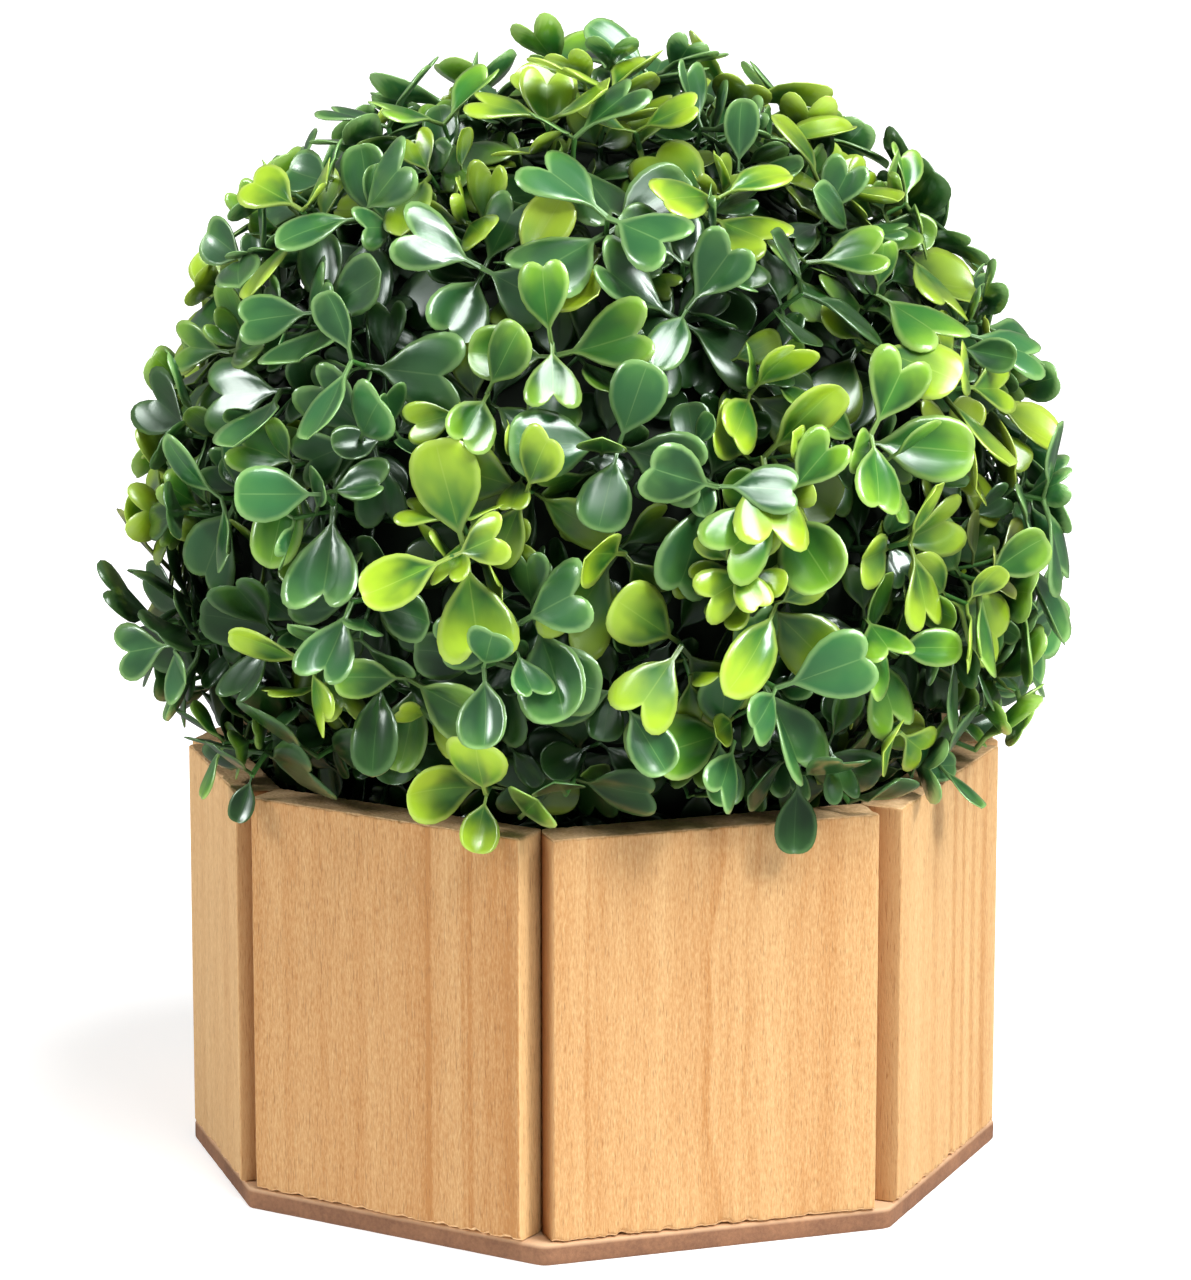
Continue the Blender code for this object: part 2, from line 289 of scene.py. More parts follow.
def outwardness(tree, start, end):
    """A share that goes from 0 to 1 between two distances from the ball's middle."""
    where = add(tree, "ShaderNodeTexCoord")
    distance = add(
        tree, "ShaderNodeVectorMath", {0: where.outputs["Object"], 1: tuple(BALL_CENTRE)},
        operation="DISTANCE",
    )
    return add(
        tree, "ShaderNodeMapRange",
        {"Value": distance.outputs["Value"], "From Min": start, "From Max": end},
    )


def mesh_object(name, points, faces, materials, smooth_deg=35.0):
    """A mesh object at the origin, shaded smooth up to `smooth_deg`."""
    mesh = bpy.data.meshes.new(name)
    mesh.from_pydata([tuple(p) for p in points], [], [tuple(int(i) for i in f) for f in faces])
    for material in materials:
        mesh.materials.append(material)
    mesh.shade_smooth()
    mesh.set_sharp_from_angle(angle=math.radians(smooth_deg))
    obj = bpy.data.objects.new(name, mesh)
    bpy.context.scene.collection.objects.link(obj)
    return obj


def set_attribute(mesh, name, kind, values):
    """Gives each point of a mesh its value of a new attribute."""
    field = "vector" if kind == "FLOAT_VECTOR" else "value"
    mesh.attributes.new(name, kind, "POINT").data.foreach_set(field, np.ravel(values))


def ring_faces(rings, sides, first=0):
    """Quads between rings of points, each ring above the one before, from point `first` on."""
    faces = []
    for low in range(first, first + (rings - 1) * sides, sides):
        high = low + sides
        for side in range(sides):
            after = (side + 1) % sides
            faces.append((low + side, low + after, high + after, high + side))
    return faces


def finish_piece(obj, slot, *nodes):
    """Fixes a piece to the one body and hides the CAD nodes it stands for; `slot` is not used."""
    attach(obj, "root")
    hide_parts(*nodes)


# Planter.


def side_plan(spans_deg):
    """For each side of an outline with these spans: the way that it faces, and its half angle."""
    corner, plan = math.radians(FIRST_CORNER_DEG), []
    for span in spans_deg:
        half = math.radians(span) / 2
        plan.append((corner + half, half))
        corner += 2 * half
    return plan


BOARD_PLAN = side_plan(BOARD_SPANS_DEG)
FACINGS = np.array([facing for facing, half in BOARD_PLAN])
OUTER = SEAM_RADIUS * np.cos([half for facing, half in BOARD_PLAN]) + GROOVE_DEPTH
INNER = OUTER - BOARD_THICKNESS


def places(length, fine, step):
    """Places along an edge: the offsets `fine` at both ends, and about `step` apart between."""
    inner = length - 2 * fine[-1]
    count = max(1, round(inner / step))
    middle = [fine[-1] + inner * number / count for number in range(1, count)]
    return np.array(list(fine) + middle + [length - offset for offset in reversed(fine)])


def lattice_shell(counts):
    """Outside of a lattice: each point's (i, j, k), the quads, and each quad's axis."""
    inside = np.zeros(counts, bool)
    inside[1:-1, 1:-1, 1:-1] = True
    cells = np.argwhere(~inside)
    index = np.full(counts, -1)
    index[~inside] = np.arange(len(cells))
    quads, axes = [], []
    for axis in range(3):
        for end in (0, -1):
            sheet = np.take(index, end, axis=axis)
            quad = np.stack([sheet[:-1, :-1], sheet[1:, :-1], sheet[1:, 1:], sheet[:-1, 1:]], -1)
            quad = quad.reshape(-1, 4)
            if (end == 0) != (axis == 1):
                quad = quad[:, ::-1]
            quads.append(quad)
            axes += [axis] * len(quad)
    return cells, np.concatenate(quads), np.array(axes)


def chipped(rng, places_along, base, chips, depth, fray, longest=2.2):
    """Width of a chamfer at each place along an edge: `base` wide where it is sanded, with some
    chips up to `depth` deep and `longest` millimetres long, and a fine fray."""
    low, high = places_along.min(), places_along.max()
    width = np.full(len(places_along), base)
    for _ in range(chips):
        middle = rng.uniform(low, high)
        reach = rng.uniform(0.5, longest) * MM
        cut = rng.uniform(0.25, 1.0) * depth
        width += cut * np.clip(1 - ((places_along - middle) / reach) ** 2, 0, None)
    grid = np.linspace(low, high, max(2, int((high - low) / FRAY_STEP)))
    return width + np.interp(places_along, grid, [fray * rng.random() ** 2 for _ in grid])


# Distance between the places along an edge where its fray changes.
FRAY_STEP = 0.9 * MM
# Places of a board's lattice: close together at each end of an edge, and then about this far
# apart through its thickness, across it and up it.
FINE_ENDS = tuple(offset * MM for offset in (0.0, 0.25, 0.5, 0.8, 1.2, 1.8))
DEPTH_STEP, ACROSS_STEP, HEIGHT_STEP = 1.6 * MM, 0.45 * MM, 6.0 * MM
# How much darker than the others each board is, and its stripes of early wood: the place across
# the board, half width and waviness in millimetres, and the depth of the stripe's colour. Boards
# not named here get their own at random.
BOARD_TONES = {
    1: (-0.06, ((-14.0, 5.0, 0.5, 0.12), (9.0, 3.0, 0.4, 0.12))),
    2: (0.29, (
        (12.0, 0.7, 0.1, 0.42), (9.9, 1.6, 0.2, 0.20), (6.5, 1.8, 0.2, 0.10),
        (21.3, 0.5, 0.1, 0.26), (23.0, 0.8, 0.1, 0.36), (30.5, 6.0, 0.2, 0.26),
        (33.5, 1.0, 0.2, 0.12),
    )),
    3: (0.18, (
        (-0.9, 0.8, 1.6, 0.34), (-3.0, 1.6, 1.6, 0.24), (-6.6, 2.0, 1.5, 0.12),
        (-30.2, 0.6, 0.2, 0.24), (-27.5, 2.0, 0.3, 0.10), (19.0, 2.5, 0.7, 0.08),
        (8.0, 1.0, 1.2, 0.14), (28.0, 3.5, 0.4, 0.10),
    )),
    4: (0.02, (
        (-10.0, 2.0, 0.2, 0.14), (3.0, 1.4, 0.2, 0.24), (9.5, 1.0, 0.2, 0.30),
        (16.5, 1.6, 0.2, 0.34), (24.0, 1.6, 0.2, 0.30),
    )),
}


# Painted shade on a board's left and right end in the groove: how far it darkens each;
# boards not named in the second table take the first.
USUAL_END_SHADE = (0.5, 0.3)
END_SHADE = {1: (0.5, 0.95), 2: (0.6, 0.0), 3: (1.0, 0.15), 4: (0.85, 0.3)}


def board_tone(number, rng, half_width):
    """The board's darkness and its stripes."""
    if number in BOARD_TONES:
        return BOARD_TONES[number]
    stripes = tuple(
        (rng.uniform(-0.85, 0.85) * half_width / MM, rng.uniform(0.7, 5),
         rng.uniform(0.1, 1.2), rng.uniform(0.12, 0.4))
        for _ in range(4)
    )
    return rng.uniform(0.0, 0.3), stripes


def make_board(number, facing, half, settings, materials):
    """One upright board with square ends, an inner mitre, chipped edges and a frayed sawn foot."""
    rng = random.Random(settings.seed * 100 + number)
    half_width = SEAM_RADIUS * math.sin(half)
    outer = SEAM_RADIUS * math.cos(half) + GROOVE_DEPTH
    inner = outer - BOARD_THICKNESS
    depths = places(BOARD_THICKNESS, FINE_ENDS[:-1], DEPTH_STEP) + inner
    across = places(2 * half_width, FINE_ENDS, ACROSS_STEP) / half_width - 1
    heights = places(RIM_HEIGHT - BOARD_FOOT, FINE_ENDS, HEIGHT_STEP) + BOARD_FOOT
    cells, quads, axes = lattice_shell((len(depths), len(across), len(heights)))
    points = np.stack([depths[cells[:, 0]], across[cells[:, 1]], heights[cells[:, 2]]], 1)
    mitre = (points[:, 0] * math.sin(half) - GAP / 2) / math.cos(half)
    points[:, 1] *= np.minimum(half_width, mitre)
    x, y, z = points.T.copy()
    # The ends are cut square only in front of the mitre, so points on it count as a metre deep.
    on_mitre = np.where(mitre > half_width, 0.0, 1.0)
    arris, chip, fray = settings.arris, settings.chip_depth, settings.saw_fray
    # Each face: its axis, the way inwards, and how deep each point lies under it.
    faces = {
        "front": (0, -1, outer - x), "back": (0, 1, x - inner),
        "top": (2, -1, RIM_HEIGHT - z), "foot": (2, 1, z - BOARD_FOOT),
        "left": (1, 1, half_width + y + on_mitre), "right": (1, -1, half_width - y + on_mitre),
    }
    cuts = (
        ("front", "top", chipped(rng, y, arris, 30, 0.4 * chip, 0.2 * MM, 0.8)),
        ("front", "foot", chipped(rng, y, arris, 16, chip, fray)),
        ("back", "top", chipped(rng, y, arris, 14, 0.6 * chip, 0.25 * MM, 1.1)),
        ("front", "left", chipped(rng, z, arris, 4, 0.3 * MM, 0.08 * MM)),
        ("front", "right", chipped(rng, z, arris, 4, 0.3 * MM, 0.08 * MM)),
        ("left", "top", chipped(rng, x, arris, 2, 0.4 * MM, 0.2 * MM)),
        ("right", "top", chipped(rng, x, arris, 2, 0.4 * MM, 0.2 * MM)),
    )
    for first, second, cut in cuts:
        (axis_1, way_1, under_1), (axis_2, way_2, under_2) = faces[first], faces[second]
        short = np.clip(cut - under_1 - under_2, 0, None) / 2
        points[:, axis_1] += way_1 * short
        points[:, axis_2] += way_2 * short
    # The stripes waver slowly up the board, with a faster and smaller wave on top.
    wave = np.sin(z / (17 * MM) + rng.uniform(0, 6)) + 0.5 * np.sin(z / (6.5 * MM))
    darkness, stripes = board_tone(number, rng, half_width)
    stripe = np.full(len(points), darkness)
    for place, reach, waver, depth in stripes:
        stripe += depth * np.exp(-(((y / MM - place - waver * wave) / reach) ** 4))
    # Painted shade lies on the ends, thickest deep in the groove.
    groove_shade = np.zeros(len(points))
    deep = np.clip(faces["front"][2] / GROOVE_DEPTH, 0, 1)
    for end, share in zip(("left", "right"), END_SHADE.get(number, USUAL_END_SHADE)):
        on_end = faces[end][2] < 0.01 * MM
        groove_shade += np.where(on_end, share * (0.35 + 0.65 * deep), 0.0)
    grain = points + [rng.uniform(0, 3), rng.uniform(0, 3), rng.uniform(0, 3)]
    turn = np.array(Matrix.Rotation(facing, 3, "Z"))
    board = mesh_object("board_%d_wood" % number, points @ turn.T, quads, materials, 30.0)
    set_attribute(board.data, "grain", "FLOAT_VECTOR", grain)
    set_attribute(board.data, "stripe", "FLOAT", stripe)
    set_attribute(board.data, "groove_shade", "FLOAT", groove_shade)
    board.data.polygons.foreach_set("material_index", axes)
    finish_piece(board, "softwood", "board_%d" % number)


def softwood(name, settings, darkness, contrast, stripes, roughness):
    """Sanded pale softwood: streaks along the grain, a fine fuzz of torn fibres and short dark
    pores. It is dull, with only a weak sheen, as bare timber is."""
    material, tree, shader = new_material(name, Roughness=roughness)
    grain, stripe, groove_shade = (
        add(tree, "ShaderNodeAttribute", attribute_name=attribute).outputs[output]
        for attribute, output in (("grain", "Vector"), ("stripe", "Fac"), ("groove_shade", "Fac"))
    )

    def streaks(across, along, detail):
        """Noise drawn out along the board; sizes in millimetres."""
        scale = (1 / (across * MM), 1 / (across * MM), 1 / (along * MM))
        drawn = add(tree, "ShaderNodeVectorMath", {0: grain, 1: scale}, operation="MULTIPLY")
        return add(
            tree, "ShaderNodeTexNoise",
            {"Vector": drawn, "Scale": 1.0, "Detail": detail, "Roughness": 0.6},
        )

    bands, fibres = streaks(6.0, 220.0, 2.0), streaks(1.0, 15.0, 3.0)
    fuzz, pores = streaks(0.42, 1.7, 2.0), streaks(0.32, 3.6, 1.0)
    # The noises vary about one half, so half of their weights is taken off again.
    weights = ((bands, 0.7 * contrast), (fibres, 0.6 * contrast), (fuzz, 1.3 * contrast))
    tone = darkness - sum(weight for noise, weight in weights) / 2
    for layer, weight in weights + ((stripe, stripes),):
        tone = add(
            tree, "ShaderNodeMath", {0: layer, 1: weight, 2: tone}, operation="MULTIPLY_ADD",
        )
    dashes = add(
        tree, "ShaderNodeMapRange",
        {"Value": pores, "From Min": 0.61, "From Max": 0.74, "To Max": 0.5},
    )
    height = add(tree, "ShaderNodeMath", {0: fuzz, 1: dashes}, operation="SUBTRACT")
    # The last coat is painted shade on the ends in the grooves.
    coats = (tone, settings.wood_dark), (dashes, settings.wood_pore), (groove_shade, settings.groove_shade)
    paint(tree, shader, settings.wood_light, coats, (height, 0.55, 0.25))
    return material


def end_grain(settings):
    """Sawn end grain of softwood: rough, open and brown, with the growth lines cut across.
    Its colours are pale, partly as painted light on the board tops.
    """
    material, tree, shader = new_material("softwood_end_grain", Roughness=0.9)
    grain = add(tree, "ShaderNodeAttribute", attribute_name="grain").outputs["Vector"]
    crumbs, tone = mottle(tree, grain, ((0.8, 3.0, 0.5), (4.0, 2.0, 0.5)), 0.75, 1.25)
    paint(tree, shader, settings.end_dark, [(tone, settings.end_light)], (crumbs, 0.8, 0.4))
    return material


def make_boards(settings):
    """Makes the eight boards, with a sanded face, sawn edges and end grain."""
    materials = [
        softwood("softwood_sanded_face", settings, 0.36, 1.0, 1.0, 0.62),
        # The sawn ends are paler than the faces, partly as painted light where the key light
        # falls.
        softwood("softwood_sawn_edge", settings, 0.12, 0.7, 0.0, 0.75),
        end_grain(settings),
    ]
    for number, (facing, half) in enumerate(BOARD_PLAN, 1):
        make_board(number, facing, half, settings, materials)


def plate_outline():
    """Points round the base plate, with rounded corners, and the outward direction at each."""
    plan = side_plan(PLATE_SPANS_DEG)
    points, normals = [], []
    for (before, half_before), (after, half_after) in zip(plan[-1:] + plan[:-1], plan):
        turn = (after - before) % (2 * math.pi)
        bisector = before + turn / 2
        reach = [
            SEAM_RADIUS * math.cos(half) + GROOVE_DEPTH - PLATE_INSET
            for half in (half_before, half_after)
        ]
        corner = np.linalg.solve(
            [[math.cos(before), math.sin(before)], [math.cos(after), math.sin(after)]], reach
        )
        inward = PLATE_CORNER_RADIUS / math.cos(turn / 2)
        centre = corner - inward * np.array([math.cos(bisector), math.sin(bisector)])
        for step in range(CORNER_STEPS + 1):
            angle = before + turn * step / CORNER_STEPS
            way = np.array([math.cos(angle), math.sin(angle)])
            points.append(centre + PLATE_CORNER_RADIUS * way)
            normals.append(way)
    return np.array(points), np.array(normals)


def resampled(points, normals, step):
    """The closed outline with points about `step` apart."""
    following = np.roll(points, -1, 0)
    new_points, new_normals = [], []
    for start, end, way, next_way in zip(points, following, normals, np.roll(normals, -1, 0)):
        count = max(1, int(np.linalg.norm(end - start) / step))
        for number in range(count):
            share = number / count
            new_points.append(start + (end - start) * share)
            mixed = way + (next_way - way) * share
            new_normals.append(mixed / np.linalg.norm(mixed))
    return np.array(new_points), np.array(new_normals)


def hardboard(settings):
    """Pressed hardboard: matt brown, mottled by its fibres, and paler on its upper arris as a
    painted highlight."""
    material, tree, shader = new_material("hardboard_brown", Roughness=0.8)
    place = add(tree, "ShaderNodeTexCoord").outputs["Object"]
    fibres, tone = mottle(tree, place, ((0.9, 4.0, 0.7), (9.0, 2.0, 0.5)), 0.7, 1.3)
    height = add(tree, "ShaderNodeSeparateXYZ", {0: place}).outputs["Z"]
    # Painted highlight: paler towards the top of the upper arris.
    arris_highlight = add(
        tree, "ShaderNodeMapRange",
        {"Value": height, "From Min": PLATE_TOP - 1.1 * MM, "From Max": PLATE_TOP - 0.3 * MM,
         "To Max": 0.65},
    )
    coats = (tone, settings.plate_light), (arris_highlight, settings.plate_arris_highlight)
    paint(tree, shader, settings.plate_dark, coats, (fibres, 0.5, 0.2))
    return material


def make_plate(settings):
    """Hardboard plate with a softly sawn edge and a rounded upper arris."""
    rng = random.Random(settings.seed)
    outline, outward = resampled(*plate_outline(), OUTLINE_STEP)
    count, top = len(outline), PLATE_TOP / MM
    # Inset and height of each ring, in millimetres.
    profile = (
        (1.0, 0.0), (0.3, 0.12), (0.0, 0.6), (0.0, 1.7), (0.0, 2.8), (0.0, top - 1.2),
        (0.15, top - 0.6), (0.5, top - 0.18), (1.1, top), (4.0, top),
    )
    rings = []
    for number, (inset, height) in enumerate(profile):
        rough = SAWN_ROUGHNESS if number in SAWN_RINGS else 0.0
        wobble = np.array([rng.uniform(0, rough) for _ in range(count)])
        wobble = (wobble + np.roll(wobble, 1)) / 2
        flat = outline - outward * ((inset + wobble) * MM)[:, None]
        rings.append(np.column_stack([flat, np.full(count, height * MM)]))
    # The last ring lies under the boards, on the flat top.
    rings[-1][:, :2] = outline * 0.9
    points = np.concatenate(rings + [[[0, 0, 0]], [[0, 0, PLATE_TOP]]])
    faces = ring_faces(len(profile), count)
    base, lid = len(points) - 2, len(points) - 1
    last = (len(profile) - 1) * count
    for place in range(count):
        after = (place + 1) % count
        faces += [(base, after, place), (lid, last + place, last + after)]
    plate = mesh_object("base_plate_hardboard", points, faces, [hardboard(settings)], 40.0)
    finish_piece(plate, "hardboard", "base_plate")


def make_filling(settings):
    """Gives the foam plug, whose CAD shape stays, its open-celled skin."""
    material, tree, shader = new_material("foam_dark_cut", Roughness=0.95)
    place = add(tree, "ShaderNodeTexCoord").outputs["Object"]
    cells = add(tree, "ShaderNodeTexVoronoi", {"Vector": place, "Scale": 1 / (1.6 * MM)})
    tone = add(
        tree, "ShaderNodeMapRange",
        {"Value": cells, "From Max": 0.6, "To Min": 0.5, "To Max": 1.3},
    )
    body = add(
        tree, "ShaderNodeVectorMath", {0: settings.foam[:3], "Scale": tone}, operation="SCALE",
    )
    paint(tree, shader, body.outputs[0], relief=(cells, 0.7, 0.5))
    frame["nodes"]["pot_filling"].material_slots[0].material = material


def make_stem(settings):
    """Moulded stem with raised rings, tapering from the foam to the ball."""
    sides, rings = 28, 13
    points = []
    for ring in range(rings):
        share = ring / (rings - 1)
        radius = STEM_RADIUS + (STEM_TOP_RADIUS - STEM_RADIUS) * share
        radius -= STEM_GROOVE if ring % 3 == 1 else 0.0
        for side in range(sides):
            angle = 2 * math.pi * side / sides
            knob = radius - STEM_KNOB * (1 + math.sin(5 * angle + ring))
            height = STEM_FOOT + (STEM_TOP - STEM_FOOT) * share
            points.append((knob * math.cos(angle), knob * math.sin(angle), height))
    faces = ring_faces(rings, sides)
    faces += [tuple(reversed(range(sides))), tuple(range((rings - 1) * sides, rings * sides))]
    material, tree, shader = new_material("stem_moulded_polyethylene", Roughness=0.5)
    place = add(tree, "ShaderNodeTexCoord").outputs["Object"]
    scuffs = add(
        tree, "ShaderNodeTexNoise", {"Vector": place, "Scale": 1 / (3 * MM), "Detail": 3.0},
    )
    shade = add(tree, "ShaderNodeMapRange", {"Value": scuffs, "To Min": 0.6, "To Max": 1.5})
    body = add(
        tree, "ShaderNodeVectorMath", {0: settings.stem[:3], "Scale": shade}, operation="SCALE",
    )
    paint(tree, shader, body.outputs[0])
    stem = mesh_object("stem_moulded", points, faces, [material])
    finish_piece(stem, "stem_plastic", "stem")


# Leaf shapes.

# Half outline from the stalk's root round to the tip, as shares of the half width and of the
# length, for a leaf with a deep notch in its tip and for one with none, and the place on the
# midrib that belongs to each point, as a share of the way to the tip or the notch.
NOTCHED_OUTLINE = (
    (0.08, 0.00), (0.07, 0.19), (0.22, 0.27), (0.66, 0.45), (0.90, 0.60), (1.00, 0.74),
    (0.98, 0.85), (0.88, 0.93), (0.71, 0.98), (0.52, 0.99), (0.33, 0.965), (0.14, 0.905),
    (0.0, 0.82),
)
ROUND_OUTLINE = (
    (0.08, 0.00), (0.07, 0.18), (0.27, 0.26), (0.72, 0.41), (0.90, 0.51), (1.00, 0.65),
    (0.98, 0.76), (0.90, 0.85), (0.76, 0.92), (0.57, 0.965), (0.37, 0.99), (0.18, 1.0),
    (0.0, 1.0),
)
MIDRIB = (0.0, 0.20, 0.28, 0.44, 0.56, 0.70, 0.80, 0.87, 0.925, 0.955, 0.975, 0.99, 1.0)
# For a leaf of length 1: the thickness of its blade and of its stalk, the stalk's length, and
# how much thinner the blade gets at its rim.
LEAF_THICKNESS, STALK_THICKNESS = 0.018, 0.045
STALK_LENGTH, RIM_THINNING = 0.28, 0.7
# Each leaf shape: its share of the leaves, width for a length of 1, how deep its notch is, rise
# of the halves from the midrib, how far their edges turn down again, how far the blade arches
# back, how far its lobes curl, and its twist in degrees.
Shape = namedtuple("Shape", "share width notch rise turn_down arch curl twist")
LEAF_SHAPES = {
    "heart_wide": Shape(0.18, 0.76, 1.15, 0.42, 0.50, 0.10, 0.4, 0.0),
    "heart_cupped": Shape(0.14, 0.71, 1.00, 0.62, 0.34, -0.16, 0.0, -6.0),
    "heart_folded": Shape(0.08, 0.66, 1.05, 0.95, 0.50, 0.16, 0.0, 12.0),
    "heart_shallow": Shape(0.12, 0.67, 0.55, 0.48, 0.46, 0.16, 0.4, 8.0),
    "round_cupped": Shape(0.16, 0.67, 0.0, 0.30, -0.10, -0.22, -0.6, 0.0),
    "round_flat": Shape(0.12, 0.63, 0.05, 0.26, 0.36, 0.06, 0.5, 5.0),
    "spoon": Shape(0.12, 0.57, 0.0, 0.40, 0.20, -0.05, -0.8, -9.0),
    "spoon_arched": Shape(0.08, 0.51, 0.0, 0.56, 0.50, 0.34, 0.2, 12.0),
}
# Where along a leaf its blade starts to arch, and its lobes to curl.
ARCH_START, CURL_START = 0.2, 0.78
SHAPE_NAMES = sorted(LEAF_SHAPES)
# Where points lie across the upper and the lower skin, as shares of the half width.
SKIN_SHARES = {1: (-1.0, -0.8, -0.4, 0.0, 0.4, 0.8, 1.0), -1: (-1.0, 0.0, 1.0)}
# Middle of the upper skin in a tile of the bake map, and how far beside it the lower skin is.
UPPER_MIDDLE, LOWER_SHIFT = (0.27, 0.6), 0.46


def leaf_rows(name):
    """The leaf's half width, the place along it, and that on the midrib, for each row."""
    shape = LEAF_SHAPES[name]
    rows = []
    for near, far in zip(ROUND_OUTLINE, NOTCHED_OUTLINE):
        mixed = [n + (f - n) * shape.notch for n, f in zip(near, far)]
        rows.append((shape.width / 2 * mixed[0], mixed[1]))
    end = rows[-1][1]
    return [(half, along, rib * end) for (half, along), rib in zip(rows, MIDRIB)]


def leaf_surface(name, across, along):
    """Place on the middle surface of a leaf of length 1."""
    shape = LEAF_SHAPES[name]
    height = shape.rise * abs(across) - shape.turn_down * across * across / (shape.width / 2)
    arch = shape.arch * max(0.0, along - ARCH_START) ** 2
    height -= arch + shape.curl * max(0.0, along - CURL_START) ** 2
    swing = math.radians(shape.twist) * along
    return Vector((
        across * math.cos(swing) - height * math.sin(swing), along,
        across * math.sin(swing) + height * math.cos(swing),
    ))


def leaf_proxy(name):
    """Corners and faces of a coarse leaf, which keeps leaves from crossing each other."""
    rows = leaf_rows(name)
    stalk = rows[1][0]
    corners = [leaf_surface(name, way * stalk, along) for along in (0.08, 0.2) for way in (-1, 1)]
    faces = [(0, 1, 3, 2), (2, 3, 7, 5)]
    for half, along, rib in rows[2:-2:2]:
        for share in (-1, -0.5, 0, 0.5, 1):
            corners.append(leaf_surface(name, half * share, rib + (along - rib) * abs(share)))
    for place in range(4, len(corners) - 5, 5):
        faces += [(p, p + 1, p + 6, p + 5) for p in range(place, place + 4)]
    half, along, rib = rows[-2]
    start = len(corners)
    corners += [leaf_surface(name, way * half, along) for way in (-1, 1)]
    corners.append(leaf_surface(name, 0.0, rows[-1][1]))
    faces += [(start - 5, start - 4, start), (start - 4, start - 3, start + 2, start)]
    faces += [(start - 3, start - 2, start + 1, start + 2), (start - 2, start - 1, start + 1)]
    return np.array(corners), faces


def make_leaf_shape(name, collection):
    """Leaf of length 1 along +Y, upper side up, with a stalk, a creased midrib and a thin rim.

    The map "leaf" runs 0 to 1 from edge to edge, and 0 to 1 from root to tip, and "rim" is the
    distance in from the outline. "OFBake" gives each side of the leaf its own half of a tile.
    """
    width = LEAF_SHAPES[name].width
    rows_of_leaf = leaf_rows(name)
    outline = np.array([(half, along) for half, along, rib in rows_of_leaf])
    points, maps, flat, rims = [], [], [], []

    def add_point(across, along, share, side):
        """A point of the upper (side 1) or lower (side -1) skin; gives its number."""
        thick = LEAF_THICKNESS if along > STALK_LENGTH else STALK_THICKNESS
        place = leaf_surface(name, across, along)
        place.z += side * thick / 2 * (RIM_THINNING if abs(share) == 1 else 1.0)
        points.append(place)
        maps.append(((share + 1) / 2, along))
        flat.append((
            UPPER_MIDDLE[0] + 0.44 * across / width + (LOWER_SHIFT if side < 0 else 0.0),
            0.04 + 0.92 * along,
        ))
        starts, ways = outline[:-1], np.diff(outline, axis=0)
        spot = np.array((abs(across), along))
        shares = np.clip(((spot - starts) * ways).sum(1) / (ways * ways).sum(1), 0, 1)
        rims.append(np.linalg.norm(starts + ways * shares[:, None] - spot, axis=1).min())
        return len(points) - 1

    skins = {}
    for side, shares in SKIN_SHARES.items():
        rows = []
        for half, along, rib in rows_of_leaf[:-1]:
            rows.append([
                add_point(half * share, rib + (along - rib) * abs(share), share, side)
                for share in shares
            ])
        skins[side] = rows + [[add_point(0.0, rows_of_leaf[-1][1], 0.0, side)] * len(shares)]
    faces, leaf_map, bake_map = [], [], []

    def add_face(corners, bake):
        """Adds a face with the places of its corners in both maps."""
        faces.append(corners)
        leaf_map.extend(maps[corner] for corner in corners)
        bake_map.extend(bake)

    for side, rows in skins.items():
        for low, high in zip(rows, rows[1:]):
            for column in range(len(low) - 1):
                corners = [low[column], low[column + 1], high[column + 1], high[column]]
                corners = list(dict.fromkeys(corners))[::side]
                add_face(corners, [flat[corner] for corner in corners])
    border = {
        side: [row[-1] for row in rows] + [row[0] for row in rows[-2::-1]]
        for side, rows in skins.items()
    }
    # The rim between both skins is laid round the upper skin's half of the tile.
    for index in range(len(border[1])):
        after = (index + 1) % len(border[1])
        corners = [border[1][after], border[1][index], border[-1][index], border[-1][after]]
        bake = []
        for place, apart in ((after, 0.02), (index, 0.02), (index, 0.04), (after, 0.04)):
            u, v = flat[border[1][place]]
            way = Vector((u - UPPER_MIDDLE[0], v - UPPER_MIDDLE[1])).normalized() * apart
            bake.append((u + way.x, v + way.y))
        add_face(corners, bake)
    mesh = bpy.data.meshes.new(name)
    mesh.from_pydata(points, [], faces)
    for map_name, values in (("leaf", leaf_map), ("OFBake", bake_map)):
        layer = mesh.uv_layers.new(name=map_name)
        layer.data.foreach_set("uv", np.array(values, np.float32).ravel())
    set_attribute(mesh, "rim", "FLOAT", rims)
    mesh.shade_smooth()
    collection.objects.link(bpy.data.objects.new(name, mesh))


# Foliage.

# Each kind of sprig: its leaves' blade, rib, tip and rim colours, where the tip's tint starts
# and ends along the leaf, and how strong it is.
LEAF_KINDS = {
    "bluish": ("#2d6434", "#427b3e", "#6aa244", "#9cc878", 0.70, 1.10, 0.50),
    "green": ("#2d6e20", "#478a28", "#8abe2c", "#b0d472", 0.55, 1.05, 0.85),
    "tipped": ("#347424", "#6ca22c", "#a8cc26", "#c2de64", 0.42, 0.88, 1.00),
    "lime": ("#689a2c", "#90b22a", "#acca26", "#c8dc64", 0.12, 0.75, 1.00),
    "olive": ("#464c28", "#5a6a32", "#8f9b34", "#a8b45e", 0.50, 1.05, 0.80),
    "dark": ("#133b0e", "#1f4e14", "#3a682b", "#587c44", 0.60, 1.10, 0.50),
}
# Shares of the kinds on the side turned from the overhead lamp, and on the side turned to it:
# the lighter kinds gather where the lamp falls as painted light, the darker ones away from it
# as painted shade.
SHADY_SHARES = {
    "bluish": 0.38, "green": 0.24, "tipped": 0.17, "lime": 0.02, "olive": 0.02, "dark": 0.17,
}
SUNNY_SHARES = {
    "bluish": 0.44, "green": 0.27, "tipped": 0.22, "lime": 0.03, "olive": 0.01, "dark": 0.03,
}
SUNNY_WAY = Vector((0.4, -0.35, 0.8)).normalized()
